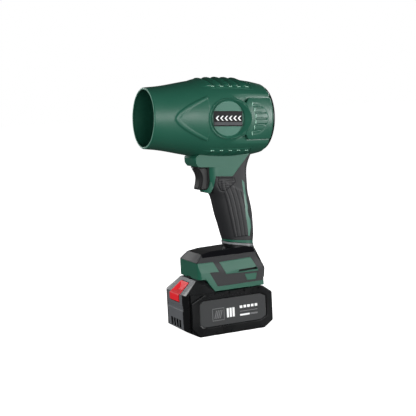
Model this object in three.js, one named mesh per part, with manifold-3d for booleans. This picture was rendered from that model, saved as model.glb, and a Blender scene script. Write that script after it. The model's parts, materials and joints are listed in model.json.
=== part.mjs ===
// Cordless pistol-grip jet blower, standing on its slide-on battery pack.
// Millimetres. +Z is up, air leaves towards -X, and -Y is the tool's left side.
// The origin is the centre of the pack's flat base.
import * as THREE from "three";
import { mergeVertices } from "three/addons/utils/BufferGeometryUtils.js";
import Module from "manifold-3d";

const wasm = await Module();
wasm.setup();

// ---- Driving dimensions -------------------------------------------------

const GAP = 0.3; // between pieces that touch
const WALL = 2.5; // moulded housing wall
const SKIN = 2; // overmould and trim thickness
const ROUND_STEPS = 32; // facets round the barrel

// Barrel: local x runs along its axis from the mouth to the rear rim, local z is up.
const AXIS_TILT = THREE.MathUtils.degToRad(3.4); // the nose points up by this much
const MOUTH = new THREE.Vector3(-93.7, 0, 280.7);
const BARREL_LENGTH = 161.3;
const BARREL_OUTLINE = [
  [0, 38.5], [3, 39], [20, 40.4], [42, 44.3], [64, 48.3], [84, 50.6], [110, 51.1],
  [132, 49.5], [148, 47.2], [BARREL_LENGTH, 43.4],
];
const BADGE_ALONG = 96.5;
const BADGE_RADIUS = 22.3;
const BADGE_FACE = 42.8; // distance of the badge's face from the barrel's middle plane
const LOUVRE_PITCH = 12.2;
const LOUVRE_COUNT = 5;
const FIRST_LOUVRE = 79;

// Fan unit, in the barrel's own frame.
const DUCT_RADIUS = 35.5;
const HUB_RADIUS = 17;
const MOTOR_RADIUS = 14.2;
const SHAFT_RADIUS = 1.5;
const BLADE_COUNT = 9;
const VANE_COUNT = 7;

// Grip: one row per level, from the foot up: height, front x, rear x, half width.
const GRIP_ROWS = [
  [98, 9.4, 49.2, 15.8], [112, 8.8, 49.6, 16.2], [124, 6.2, 50.7, 16.8], [142, 1.6, 50.3, 17.4],
  [160, -2.8, 48.4, 18], [176, -6.6, 45, 18], [187, -11.7, 42.8, 18], [202, -12, 41.6, 18],
  [217, -12, 45.2, 18], [230, -12, 50.5, 18],
];
const GRIP_SIDES = 16;
const HALF_BLOCK = 17; // half width of the block between barrel and grip

// Foot.
const FOOT_SIDE = [
  [-43, 72.5], [-33, 72.5], [-21.5, 56], [48, 56], [48, 67], [51.3, 67], [51.3, 105.8],
  [10, 107], [-20, 106], [-33.5, 103.5], [-43, 94],
];
const FOOT_SECTION = [
  [-31.5, 50], [31.5, 50], [31.5, 77], [27.5, 91.5], [24.5, 99.5], [19.5, 105.4], [12, 112],
  [-12, 112], [-19.5, 105.4], [-24.5, 99.5], [-27.5, 91.5], [-31.5, 77],
];
const FOOT_PLAN = [
  [-43, -25], [-36.5, -31.5], [46.5, -31.5], [51.3, -27], [51.3, 27], [46.5, 31.5], [-36.5, 31.5],
  [-43, 25],
];
// Each rear corner is cut off by a plane through this point, with this outward normal.
const FOOT_CORNER = new THREE.Vector3(41.5, -20, 106);
const FOOT_CORNER_NORMAL = new THREE.Vector3(0.683, -0.537, 0.495);
const BAY_TOP = 70.5; // ceiling of the rail bay

// Battery pack.
const PACK_SPLIT = 38; // height where its two cases meet
const PACK_TOP = 55;
const PACK_HALF_WIDTH = 35; // without the side frames
const FRAME_HALF_WIDTH = 37.5;
const PACK_PLAN = [
  [-64.8, -24.5], [-58, -35], [54, -35], [57.5, -31], [57.5, 31], [54, 35], [-58, 35], [-64.8, 24.5],
];
const PACK_WALL = 2;
const SHOULDER_LOW = [-64.8, 53.5];
const SHOULDER_HIGH = [-44.5, 71];
const FRAME_SIDE = [
  [-47, 0], [45, 0], [57.5, 9], [57.5, 47], [44.5, 56.5], [-40.5, 53.5], [-57.5, 45.5], [-57.5, 11.5],
];
const PANEL_SIDE = [
  [-41, 12], [40, 12], [48.2, 16.6], [48.2, 42], [40.2, 46.2], [-41.2, 46.2], [-46.5, 42.2],
  [-46.5, 16],
];
const CELL_RADIUS = 9.15;
const CELL_LENGTH = 65;
const CELL_PITCH = 19.2;

// Moving pieces.
const TRIGGER_TRAVEL = 7;
const BUTTON_TRAVEL = 3.5;

// ---- Solids from three.js geometry ---------------------------------------

function solidOf(geometry) {
  const bare = new THREE.BufferGeometry();
  const flat = geometry.index ? geometry.toNonIndexed() : geometry;
  bare.setAttribute("position", flat.getAttribute("position"));
  const merged = mergeVertices(bare, 1e-3);
  const corners = merged.index.array;
  const kept = [];
  for (let i = 0; i < corners.length; i += 3) {
    const [a, b, c] = [corners[i], corners[i + 1], corners[i + 2]];
    if (a !== b && b !== c && c !== a) kept.push(a, b, c);
  }
  const build = (triangles) =>
    new wasm.Manifold(
      new wasm.Mesh({
        numProp: 3,
        vertProperties: new Float32Array(merged.attributes.position.array),
        triVerts: new Uint32Array(triangles),
      }),
    );
  const solid = build(kept);
  return solid.volume() > 0 ? solid : build(kept.reverse());
}

function geometryOf(solid) {
  const mesh = solid.getMesh();
  const positions = new Float32Array(mesh.numVert * 3);
  for (let i = 0; i < mesh.numVert; i++) {
    positions.set(mesh.vertProperties.subarray(i * mesh.numProp, i * mesh.numProp + 3), i * 3);
  }
  const geometry = new THREE.BufferGeometry();
  geometry.setAttribute("position", new THREE.BufferAttribute(positions, 3));
  geometry.setIndex(new THREE.BufferAttribute(new Uint32Array(mesh.triVerts), 1));
  geometry.computeVertexNormals();
  return geometry;
}

function unite(solids) {
  return solids.reduce((sum, solid) => sum.add(solid));
}

function intersect(solids) {
  return solids.reduce((common, solid) => common.intersect(solid));
}

// Reads a list of points as a THREE.Shape, with optional holes.
function shapeOf(points, holes = []) {
  const toVectors = (list) => list.map(([x, y]) => new THREE.Vector2(x, y));
  const shape = new THREE.Shape(toVectors(points));
  shape.holes = holes.map((hole) => new THREE.Path(toVectors(hole)));
  return shape;
}

// A side outline in X and Z, given width from low to high Y.
function sideSolid(points, low, high, holes = []) {
  const geometry = new THREE.ExtrudeGeometry(shapeOf(points, holes), {
    depth: high - low,
    bevelEnabled: false,
  });
  geometry.rotateX(Math.PI / 2);
  geometry.translate(0, high, 0);
  return solidOf(geometry);
}

// A plan outline in X and Y, given height from low to high Z.
function planSolid(points, low, high) {
  const geometry = new THREE.ExtrudeGeometry(shapeOf(points), {
    depth: high - low,
    bevelEnabled: false,
  });
  geometry.translate(0, 0, low);
  return solidOf(geometry);
}

// A cross-section outline in Y and Z, given length from low to high X.
function sectionSolid(points, low, high) {
  const geometry = new THREE.ExtrudeGeometry(shapeOf(points), {
    depth: high - low,
    bevelEnabled: false,
  });
  geometry.rotateX(Math.PI / 2);
  geometry.rotateZ(Math.PI / 2);
  geometry.translate(low, 0, 0);
  return solidOf(geometry);
}

function boxSolid([x0, y0, z0], [x1, y1, z1]) {
  const geometry = new THREE.BoxGeometry(x1 - x0, y1 - y0, z1 - z0);
  geometry.translate((x0 + x1) / 2, (y0 + y1) / 2, (z0 + z1) / 2);
  return solidOf(geometry);
}

// A round bar along Y.
function rodAcross(x, z, radius, low, high, sides = 10) {
  const geometry = new THREE.CylinderGeometry(radius, radius, high - low, sides);
  geometry.translate(x, (low + high) / 2, z);
  return solidOf(geometry);
}

// A body of revolution about local x from a list of [along, radius].
function turned(profile, steps = ROUND_STEPS) {
  const points = profile.map(([along, radius]) => new THREE.Vector2(radius, along));
  const geometry = new THREE.LatheGeometry(points, steps);
  geometry.rotateZ(-Math.PI / 2);
  return solidOf(geometry);
}

// Moves a barrel-frame geometry or solid into the part's frame.
const BARREL_PLACE = new THREE.Matrix4()
  .makeTranslation(MOUTH)
  .multiply(new THREE.Matrix4().makeRotationY(AXIS_TILT));

function inBarrel(solid) {
  return solid.transform(BARREL_PLACE.elements);
}

// Moves each edge of a counter-clockwise outline outwards by a distance.
function offset(points, distance) {
  const count = points.length;
  return points.map((point, i) => {
    const before = points[(i + count - 1) % count];
    const after = points[(i + 1) % count];
    const normalOf = ([x0, y0], [x1, y1]) => {
      const length = Math.hypot(x1 - x0, y1 - y0);
      return [(y1 - y0) / length, (x0 - x1) / length];
    };
    const [ax, ay] = normalOf(before, point);
    const [bx, by] = normalOf(point, after);
    const scale = distance / (1 + ax * bx + ay * by);
    return [point[0] + (ax + bx) * scale, point[1] + (ay + by) * scale];
  });
}

const MIRROR_Y = new THREE.Matrix4().makeScale(1, -1, 1);

function mirrored(solid) {
  return solid.transform(MIRROR_Y.elements);
}

const FAR = 400;
const leftSpace = boxSolid([-FAR, -FAR, -FAR], [FAR, -GAP / 2, FAR]);
const rightSpace = boxSolid([-FAR, GAP / 2, -FAR], [FAR, FAR, FAR]);

// ---- Shapes shared by several pieces ---------------------------------------

// The grip: a column of rounded sections, shrunk by an inset.
function gripSolid(inset) {
  const levels = GRIP_ROWS.length - 1;
  const geometry = new THREE.CylinderGeometry(1, 1, levels, GRIP_SIDES, levels);
  geometry.rotateX(Math.PI / 2);
  const position = geometry.getAttribute("position");
  for (let i = 0; i < position.count; i++) {
    const row = GRIP_ROWS[Math.round(position.getZ(i) + levels / 2)];
    const [height, front, rear, halfWidth] = row;
    const [unitX, unitY] = [position.getX(i), position.getY(i)];
    const distance = Math.hypot(unitX, unitY);
    const squareness = distance > 0 ? rounding(unitX / distance, unitY / distance) : 0;
    position.setXYZ(
      i,
      (front + rear) / 2 + unitX * squareness * ((rear - front) / 2 - inset),
      unitY * squareness * (halfWidth - inset),
      height,
    );
  }
  return solidOf(geometry);
}

// How far out a superellipse lies in a direction, compared with a circle.
function rounding(cosine, sine, power = 2.6) {
  return 1 / (Math.abs(cosine) ** power + Math.abs(sine) ** power) ** (1 / power);
}

function footSolid(inset) {
  const block = intersect([
    sideSolid(offset(FOOT_SIDE, -inset), -50, 50),
    sectionSolid(offset(FOOT_SECTION, -inset), -60, 60),
    planSolid(offset(FOOT_PLAN, -inset), 40, 120),
  ]);
  const corner = new THREE.BoxGeometry(200, 200, 100);
  const outward = FOOT_CORNER_NORMAL.clone().normalize();
  corner.translate(0, 0, 50 - inset);
  corner.applyQuaternion(
    new THREE.Quaternion().setFromUnitVectors(new THREE.Vector3(0, 0, 1), outward),
  );
  corner.translate(...FOOT_CORNER);
  const cut = solidOf(corner);
  return block.subtract(cut).subtract(mirrored(cut));
}

function barrelSolid(inset, from = 0, to = BARREL_LENGTH) {
  const wall = BARREL_OUTLINE.map(([along, radius]) => [along, radius - inset]);
  wall[0][0] = from;
  wall[wall.length - 1][0] = to;
  return inBarrel(turned([[from, 0], ...wall, [to, 0]]));
}

const barrelOuter = barrelSolid(0);
const barrelInner = barrelSolid(WALL, -5, BARREL_LENGTH + 5);

// Raised panel round the side vent, on both sides of the barrel.
function rearPanels() {
  const outline = [
    [121, -20.3], [125.3, -26], [159, -25.5], [159, 25.5], [125.3, 26], [121, 20.3],
  ];
  const raised = BARREL_OUTLINE.filter(([along]) => along > 110).map(([along, radius]) => [
    Math.min(along, 159.5),
    radius + 1.2,
  ]);
  const shell = turned([[114, 0], ...raised, [159.5, 0]]);
  return inBarrel(shell.intersect(sideSolid(outline, -60, 60)));
}

// Regions of the skins, as side outlines.
const OVERMOULD_REGION = [
  [60, 111.5], [60, 229], [44.5, 228], [18, 199.6], [-5.2, 200.8], [-8.3, 186], [-12, 179.5],
  [-25, 177], [-25, 121.5],
];
const BUMPER_REGION = [
  [60, 62.3], [60, 120], [-50, 120], [-50, 93.6], [-20.5, 93.2], [-14, 80], [-27.5, 80.5],
  [-17, 61.8],
];
const UPPER_WINDOW = [[-12, 92.4], [33.4, 93.7], [42.3, 76.3], [-4.5, 76.3]];
const LOWER_WINDOW = [[22.1, 73.5], [39.7, 72.9], [37.6, 64.8], [25.1, 64.7]];
const COVER_REGION = [[60, 99.6], [60, 120], [-33.6, 120], [-33.6, 99.6]];

const bumperRegion = (margin) =>
  sideSolid(offset(BUMPER_REGION, margin), -50, 50, [
    offset(UPPER_WINDOW, margin),
    offset(LOWER_WINDOW, margin),
  ]);
const coverRegion = (margin) => sideSolid(offset(COVER_REGION, margin), -50, 50);
const overmouldRegion = (margin) => sideSolid(offset(OVERMOULD_REGION, margin), -30, 30);

const footOuter = footSolid(0);
const footUnderSkin = footSolid(SKIN);
const gripOuter = gripSolid(0);
const gripUnderSkin = gripSolid(SKIN);

// ---- Screws through the two halves -----------------------------------------

const SCREW_PLACES = [[-24, 221], [33, 220], [12, 166], [30, 128], [-33, 84], [38, 84]];
const SCREW_HEAD_LOW = 8.3;

function screwSolid([x, z]) {
  const shank = rodAcross(x, z, 1.6, -9.5, SCREW_HEAD_LOW + 0.5, 8);
  const head = rodAcross(x, z, 3.1, SCREW_HEAD_LOW, SCREW_HEAD_LOW + 2.2, 10);
  const socket = rodAcross(x, z, 1.3, SCREW_HEAD_LOW + 0.9, SCREW_HEAD_LOW + 3, 6);
  return shank.add(head).subtract(socket);
}

const atScrews = (radius, low, high, sides) =>
  unite(SCREW_PLACES.map(([x, z]) => rodAcross(x, z, radius, low, high, sides)));
const screwBosses = atScrews(5, -28, 28, 8);
const screwWells = atScrews(3.6, SCREW_HEAD_LOW - GAP, 50, 10);
const screwHoles = atScrews(1.9, -10, 50, 8);

// ---- Housing -----------------------------------------------------------------

function louvreSlots() {
  const slots = [];
  for (let i = 0; i < LOUVRE_COUNT; i++) {
    const along = FIRST_LOUVRE + i * LOUVRE_PITCH;
    slots.push(boxSolid([along - 1.5, -27, 36], [along + 1.5, 27, 60]));
    slots.push(boxSolid([along - 1.5, -27, -60], [along + 1.5, 27, -36]));
  }
  return inBarrel(unite(slots)).subtract(block).subtract(gripOuter);
}

function sideVentSlots() {
  const slots = [];
  for (let i = -2; i <= 2; i++) {
    const height = i * 7.5;
    const end = 133 + 17 * Math.sqrt(1 - (height / 20) ** 2);
    slots.push(boxSolid([133, -60, height - 1.2], [end, 60, height + 1.2]));
  }
  return inBarrel(unite(slots));
}

// Bowl-shaped pockets for the badges, with a floor behind each.
function badgePocket(side) {
  const cone = new THREE.CylinderGeometry(29, 22.7, 14.3, 24);
  cone.translate(BADGE_ALONG, 41 + 14.3 / 2, 0);
  const pocket = inBarrel(solidOf(cone));
  return side < 0 ? mirrored(pocket) : pocket;
}

function badgeBacking(side) {
  const disc = new THREE.CylinderGeometry(30, 26, 12, 24);
  disc.translate(BADGE_ALONG, 45, 0);
  const backing = inBarrel(solidOf(disc)).intersect(barrelOuter);
  return side < 0 ? mirrored(backing) : backing;
}

const block = sideSolid(
  [[-25, 240], [-27.5, 231], [-33.8, 225], [-32.2, 215.3], [-10, 213.7], [46, 211], [50, 228], [50, 240]],
  -HALF_BLOCK,
  HALF_BLOCK,
).intersect(planSolid([[-33.8, -12], [-29, -17], [51, -17], [51, 17], [-29, 17], [-33.8, 12]], 190, 260));
const LIP_SIDE = [[-19, 183.8], [-16, 180.4], [-6, 176], [4, 176], [4, 183.8]];
const triggerLip = (margin) => sideSolid(offset(LIP_SIDE, margin), -11 - margin, 11 + margin);
const triggerOpening = boxSolid([-60, -10.2, 184.3], [10, 10.2, 212.6]);

function handleCavity() {
  const gripRoom = gripSolid(SKIN + GAP + WALL);
  const blockRoom = boxSolid([-30, -HALF_BLOCK + WALL, 216.5], [42, HALF_BLOCK - WALL, 245]);
  const footRoom = footSolid(SKIN + GAP + WALL).intersect(boxSolid([-60, -50, 73.5], [60, 50, 101]));
  return unite([gripRoom, blockRoom, footRoom]).subtract(barrelOuter).add(triggerOpening);
}

// Open channel that takes the pack's rails, with a ledge down each side.
function railBay() {
  const channel = boxSolid([-60, -28.5, 40], [45.3, 28.5, BAY_TOP]);
  const ledge = boxSolid([-60, 24, 40], [45.3, 40, 60.2]);
  return channel.subtract(ledge).subtract(mirrored(ledge));
}

// Recesses that the overmoulds, bumpers and cover lie in.
function skinRecesses() {
  const gripRecess = gripSolid(-2)
    .subtract(gripSolid(SKIN + GAP))
    .intersect(overmouldRegion(GAP))
    .subtract(triggerLip(0));
  const footRecess = footSolid(-2)
    .subtract(footSolid(SKIN + GAP))
    .intersect(bumperRegion(GAP).add(coverRegion(GAP)))
    .subtract(gripSolid(0));
  return gripRecess.subtract(footUnderSkin).add(footRecess);
}

function housing() {
  const outer = unite([barrelOuter, rearPanels(), block, triggerLip(0), gripOuter, footOuter]);
  const walls = outer
    .subtract(barrelInner)
    .subtract(handleCavity())
    .add(screwBosses.intersect(outer).subtract(barrelOuter).subtract(triggerOpening))
    .add(badgeBacking(-1))
    .add(badgeBacking(1));
  const wireHole = new THREE.CylinderGeometry(4.5, 4.5, 20, 10);
  wireHole.rotateX(Math.PI / 2);
  wireHole.translate(118, 0, -48);
  const cuts = [
    railBay(),
    louvreSlots(),
    sideVentSlots(),
    badgePocket(-1),
    badgePocket(1),
    inBarrel(solidOf(wireHole)),
    screwHoles,
    screwWells,
    skinRecesses(),
    collarSolid(GAP),
    terminalSeat,
    latchRecess,
  ];
  return cuts.reduce((solid, cut) => solid.subtract(cut), walls);
}

// Ring round the root of the grip, lying square to the grip.
function collarSolid(margin) {
  const tilt = new THREE.Matrix4()
    .makeTranslation(28.6, 0, 109)
    .multiply(new THREE.Matrix4().makeRotationY(THREE.MathUtils.degToRad(9.5)));
  const slab = boxSolid([-40, -40, -2 - margin], [40, 40, 2 + margin]).transform(tilt.elements);
  const ring = gripSolid(-0.8 - margin).subtract(gripSolid(SKIN + margin));
  return ring.intersect(slab);
}

const terminalSeat = boxSolid([32.7, -12.3, 60], [41.3, 12.3, 75]);
const latchRecess = boxSolid([-50, -6.2, 70], [-36.5, 6.2, 74.2]);

// ---- Trim on the housing --------------------------------------------------------

function overmoulds() {
  return gripOuter
    .subtract(gripUnderSkin)
    .intersect(overmouldRegion(0))
    .subtract(unite([collarSolid(GAP), block, barrelOuter, triggerLip(GAP), triggerOpening]))
    .subtract(screwWells);
}

function bumpers() {
  return footOuter
    .subtract(footUnderSkin)
    .intersect(bumperRegion(0))
    .subtract(unite([coverRegion(GAP), gripSolid(-GAP), screwWells, railBay(), latchRecess]));
}

function footCover() {
  return footOuter
    .subtract(footUnderSkin)
    .intersect(coverRegion(0))
    .subtract(gripSolid(-0.8 - GAP));
}

function badgeDisc() {
  const disc = new THREE.CylinderGeometry(BADGE_RADIUS, BADGE_RADIUS, 1.5, 24);
  disc.translate(BADGE_ALONG, BADGE_FACE - 0.75, 0);
  return inBarrel(solidOf(disc));
}

function labelPlate() {
  return inBarrel(
    boxSolid([BADGE_ALONG - 20, BADGE_FACE + GAP, -9.8], [BADGE_ALONG + 20, BADGE_FACE + 1.6, 9.8]),
  );
}

function rearGrille() {
  const ringOf = (from, to, inner, outer) =>
    turned([[from, inner], [from, outer], [to, outer], [to, inner], [from, inner]], 24);
  const rings = [
    ringOf(150, 162, 38.6, 40.6),
    ringOf(161.6, 164, 37.6, 42.3),
    ringOf(162.8, 165.6, 28.6, 31),
    ringOf(164, 166.8, 18.6, 21),
  ];
  const hub = turned([[164.8, 0], [164.8, 9], [168, 8], [168, 0]], 12);
  const spokes = [];
  for (let i = 0; i < 6; i++) {
    const geometry = new THREE.BoxGeometry(2, 2, 36);
    geometry.rotateY(-0.08);
    geometry.translate(164.6, 0, 22);
    geometry.rotateX((i * Math.PI) / 3);
    spokes.push(solidOf(geometry));
  }
  return unite([...rings, hub, ...spokes]);
}

// ---- Fan unit, in the barrel's frame -----------------------------------------------

// A thin blade or vane that turns as it runs out from the hub.
function twistedBlade(inner, outer, chord, thickness, rootAngle, tipAngle) {
  const geometry = new THREE.BoxGeometry(chord, thickness, outer - inner, 1, 1, 2);
  const position = geometry.getAttribute("position");
  for (let i = 0; i < position.count; i++) {
    const share = position.getZ(i) / (outer - inner) + 0.5;
    const angle = THREE.MathUtils.degToRad(rootAngle + (tipAngle - rootAngle) * share);
    const [x, y] = [position.getX(i), position.getY(i)];
    position.setXYZ(
      i,
      x * Math.cos(angle) - y * Math.sin(angle),
      x * Math.sin(angle) + y * Math.cos(angle),
      inner + share * (outer - inner),
    );
  }
  return geometry;
}

function bladeRing(count, along, blade) {
  const blades = [];
  for (let i = 0; i < count; i++) {
    const geometry = blade.clone();
    geometry.rotateX((i * 2 * Math.PI) / count);
    geometry.translate(along, 0, 0);
    blades.push(solidOf(geometry));
  }
  return unite(blades);
}

function fanDuct() {
  const shroud = turned([
    [60, DUCT_RADIUS], [60, 44.6], [62.5, 45], [62.5, 38], [99, 37.3], [101, 38.2], [101, 37],
    [98, DUCT_RADIUS], [60, DUCT_RADIUS],
  ], 28);
  const hub = turned(
    [[60, MOTOR_RADIUS + GAP], [60, HUB_RADIUS], [82, HUB_RADIUS], [82, MOTOR_RADIUS + GAP],
      [60, MOTOR_RADIUS + GAP]],
    20,
  );
  const vane = twistedBlade(HUB_RADIUS - 1, DUCT_RADIUS + 1, 15, 1.6, 12, 12);
  return unite([shroud, hub, bladeRing(VANE_COUNT, 70, vane)]);
}

function impeller() {
  const cup = turned(
    [[84, 3], [84, HUB_RADIUS], [96.5, HUB_RADIUS], [96.5, SHAFT_RADIUS + GAP],
      [92, SHAFT_RADIUS + GAP], [92, 3], [84, 3]],
    20,
  );
  const blade = twistedBlade(HUB_RADIUS - 1, DUCT_RADIUS - 0.7, 13, 1.5, -38, -58);
  return cup.add(bladeRing(BLADE_COUNT, 90.2, blade));
}

const spinnerProfile = [[96.8, 0], [96.8, 16.9], [99, 16], [102, 13.2], [105, 9], [107, 4.5], [107.6, 0]];

function spinner() {
  const bore = turned([[90, 0], [90, SHAFT_RADIUS + GAP], [101.3, SHAFT_RADIUS + GAP], [101.3, 0]], 12);
  return turned(spinnerProfile, 20).subtract(bore);
}

function rotorShaft() {
  return turned(
    [[50.6, 0], [50.6, SHAFT_RADIUS], [58, SHAFT_RADIUS], [58, 6.8], [75, 6.8], [75, SHAFT_RADIUS],
      [101, SHAFT_RADIUS], [101, 0]],
    10,
  );
}

function motorCase() {
  return turned(
    [[50, 4.3], [50, MOTOR_RADIUS], [77.7, MOTOR_RADIUS], [77.7, 12.7], [53.5, 12.7], [53.5, 4.3],
      [50, 4.3]],
    20,
  );
}

function motorEndCap() {
  return turned([[78, 4.3], [78, MOTOR_RADIUS], [82, MOTOR_RADIUS], [82, 4.3], [78, 4.3]], 20);
}

function bearing(from) {
  const inner = SHAFT_RADIUS + GAP;
  return turned([[from, inner], [from, 4], [from + 3, 4], [from + 3, inner], [from, inner]], 12);
}

function statorCore() {
  return turned([[56, 7.2], [56, 12.4], [76.5, 12.4], [76.5, 7.2], [56, 7.2]], 20);
}

function tailCone() {
  return turned([[22, 0], [24, 3], [30, 6.8], [38, 10.6], [45, 13], [49.7, 14.2], [49.7, 0]], 20);
}

// ---- Trigger and electrics ------------------------------------------------------------

// Front of the trigger, from its foot up: height, x on the centre line.
const TRIGGER_ROWS = [
  [184.9, -25.6], [187, -26.4], [191, -25], [196, -23.8], [200.5, -23.4], [205, -24.6],
  [209, -27.2], [212.2, -30.4],
];
const TRIGGER_HALF_WIDTH = 9.5;
const TRIGGER_CHAMFER = 2.6;

function triggerSolid() {
  const levels = TRIGGER_ROWS.length - 1;
  const geometry = new THREE.BoxGeometry(1, 3, levels, 1, 3, levels);
  const position = geometry.getAttribute("position");
  for (let i = 0; i < position.count; i++) {
    const [height, front] = TRIGGER_ROWS[Math.round(position.getZ(i) + levels / 2)];
    const across = position.getY(i);
    const atEdge = Math.abs(across) > 1;
    const chamfered = front + (atEdge ? TRIGGER_CHAMFER : 0);
    const reach = atEdge ? TRIGGER_HALF_WIDTH : TRIGGER_HALF_WIDTH - TRIGGER_CHAMFER;
    position.setXYZ(i, position.getX(i) < 0 ? chamfered : -13, Math.sign(across) * reach, height);
  }
  const body = boxSolid([-17, -9.5, 186], [-2, 9.5, 211]);
  const stem = boxSolid([-3, -2.6, 196.4], [4, 2.6, 201.6]);
  return unite([solidOf(geometry), body, stem]);
}

// A compression spring as a wire along a helix.
function springSolid(start, end, radius, wire, turns) {
  const axis = new THREE.Vector3().subVectors(end, start);
  const place = new THREE.Matrix4()
    .makeTranslation(start)
    .multiply(
      new THREE.Matrix4().makeRotationFromQuaternion(
        new THREE.Quaternion().setFromUnitVectors(new THREE.Vector3(0, 0, 1), axis.clone().normalize()),
      ),
    );
  const points = [];
  const steps = turns * 7;
  for (let i = 0; i <= steps; i++) {
    const angle = (i / 7) * 2 * Math.PI;
    const height = wire + ((axis.length() - 2 * wire) * i) / steps;
    points.push(new THREE.Vector3(radius * Math.cos(angle), radius * Math.sin(angle), height));
  }
  const section = shapeOf([[wire, 0], [0, wire], [-wire, 0], [0, -wire]]);
  const geometry = new THREE.ExtrudeGeometry(section, {
    extrudePath: new THREE.CatmullRomCurve3(points),
    steps,
    bevelEnabled: false,
  });
  return solidOf(geometry.applyMatrix4(place));
}

function switchBody() {
  const body = boxSolid([12.5, -8, 187], [33, 8, 211]);
  const neck = boxSolid([11.5, -4.4, 194.6], [13, 4.4, 203.4]);
  return body.add(neck);
}

function controllerBoard() {
  const board = boxSolid([-28, -19, 79], [18, 19, 80.6]);
  const heatSink = boxSolid([-25, -13, 80.4], [-9, 13, 90]);
  const fins = [-19.5, -14.5].map((x) => boxSolid([x, -14, 83], [x + 2.4, 14, 91]));
  const capacitor = (y) => {
    const geometry = new THREE.CylinderGeometry(4, 4, 12, 12);
    geometry.rotateX(Math.PI / 2);
    geometry.translate(4, y, 86.3);
    return solidOf(geometry);
  };
  const parts = [board, capacitor(-8), capacitor(8)];
  return fins.reduce((solid, fin) => solid.subtract(fin), unite([...parts, heatSink]));
}

// Hangs through the bay's ceiling, with a head above and the contact body below.
function terminalBlock() {
  const body = boxSolid([31, -16, 61.5], [43, 16, 70.2]);
  const neck = boxSolid([33, -12, 70], [41, 12, 74]);
  const head = boxSolid([31.5, -14, 73.8], [42.5, 14, 77]);
  const slots = [-11, 11].map((y) => boxSolid([20, y - 0.7, 61], [40, y + 0.7, 66.3]));
  return slots.reduce((solid, slot) => solid.subtract(slot), unite([body, neck, head]));
}

function contactBlade(y) {
  return boxSolid([23, y - 0.4, 62], [39.5, y + 0.4, 66]);
}

// ---- Battery pack -----------------------------------------------------------------------

// Outline of the front shoulder that rises ahead of the foot.
const SHOULDER_SIDE = [
  SHOULDER_LOW, [-64.8, 40], [-18, 40], [-19.3, 52], [-32.6, 71], SHOULDER_HIGH,
];

function shoulderBlock(inset) {
  return intersect([
    sideSolid(offset(SHOULDER_SIDE, -inset), -34, 34),
    planSolid(offset(PACK_PLAN, -inset), 30, 90),
    sectionSolid(
      offset([[-33.5, 40], [33.5, 40], [33.5, 54], [24.5, 71.2], [-24.5, 71.2], [-33.5, 54]], -inset),
      -80,
      0,
    ),
  ]);
}

const buttonPlan = (margin) => [
  [-80, -15.6 - margin], [-65, -15 - margin], [-49, -12 - margin], [-36, -12 - margin],
  [-36, 12 + margin], [-49, 12 + margin], [-65, 15 + margin], [-80, 15.6 + margin],
];

function releaseButton() {
  const plate = sideSolid(
    [
      [-48.6, 68.2], [-65.2, 53.9], [-65.2, 45.6], [-62.7, 45.6], [-62.7, 52.4], [-50, 63.4],
      [-40, 63.4], [-40, 73.7], [-42.5, 73.7], [-45.5, 70],
    ],
    -17,
    17,
  );
  const hookRoom = boxSolid([-48.4, 5.5, 60], [-30, 20, 80]);
  return plate
    .intersect(planSolid(buttonPlan(0), 30, 90))
    .subtract(hookRoom)
    .subtract(mirrored(hookRoom));
}

function packUpper() {
  const rails = unite([
    boxSolid([-38, -23.3, 50], [44.6, 23.3, 66]),
    boxSolid([-38, -27.8, 61], [44.6, 27.8, 66]),
  ]);
  const outer = unite([planSolid(PACK_PLAN, PACK_SPLIT + GAP, PACK_TOP), shoulderBlock(0), rails]);
  const room = unite([
    planSolid(offset(PACK_PLAN, -PACK_WALL), PACK_SPLIT - 5, PACK_TOP - PACK_WALL),
    shoulderBlock(PACK_WALL),
    boxSolid([-36, -21, 48], [29.7, 21, 64]),
  ]);
  const springShelf = boxSolid([-47, -33, 52.6], [-41, 33, 54.7]).intersect(shoulderBlock(0.5));
  const window = sideSolid(
    [[-37, 80], [-75, 80], [-75, 55.3], [-65.2, 45.2], [-59, 39], [-52, 39], [-37, 57.2]],
    -20,
    20,
  ).intersect(planSolid(buttonPlan(1), 30, 90));
  const hookSlot = boxSolid([-49.2, 6.3, 68.9], [-38, 20, 90]);
  const opening = window.subtract(hookSlot).subtract(mirrored(hookSlot));
  const contactSlots = [-11, 11].map((y) => boxSolid([20, y - 1.3, 61], [50, y + 1.3, 75]));
  const blockRoom = boxSolid([30, -17, 60.6], [50, 17, 75]);
  return [room, opening, blockRoom, ...contactSlots]
    .reduce((solid, cut) => solid.subtract(cut), outer)
    .add(springShelf);
}

function packLower() {
  const outer = planSolid(PACK_PLAN, 0, PACK_SPLIT);
  const chamfered = outer.intersect(
    sideSolid([[-60.5, 0], [58, 0], [58, 50], [-64.8, 50], [-64.8, 9]], -50, 50),
  );
  const room = planSolid(offset(PACK_PLAN, -PACK_WALL), PACK_WALL, 60).intersect(
    boxSolid([-62, -33, 0], [60, 33, 60]),
  );
  const slots = [-12, -4, 4, 12].map((y) => boxSolid([-70, y - 2.2, 10], [-58, y + 2.2, 18.5]));
  return slots.reduce((solid, slot) => solid.subtract(slot), chamfered.subtract(room));
}

function sideFrame() {
  const ring = sideSolid(FRAME_SIDE, PACK_HALF_WIDTH + GAP, FRAME_HALF_WIDTH, [offset(PANEL_SIDE, 0.4)]);
  const notches = [];
  for (let i = 0; i < 4; i++) {
    const x = -34 + i * 21;
    notches.push(boxSolid([x, 36.3, -1], [x + 11, 40, 4]));
    notches.push(boxSolid([x, 36.3, 52.2], [x + 11, 40, 60]));
  }
  return notches.reduce((solid, notch) => solid.subtract(notch), ring);
}

function cell(column, row) {
  const x = (column - 2) * CELL_PITCH - 2;
  const z = 11.6 + row * CELL_PITCH;
  return rodAcross(x, z, CELL_RADIUS, -CELL_LENGTH / 2, CELL_LENGTH / 2, 12);
}

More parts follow.
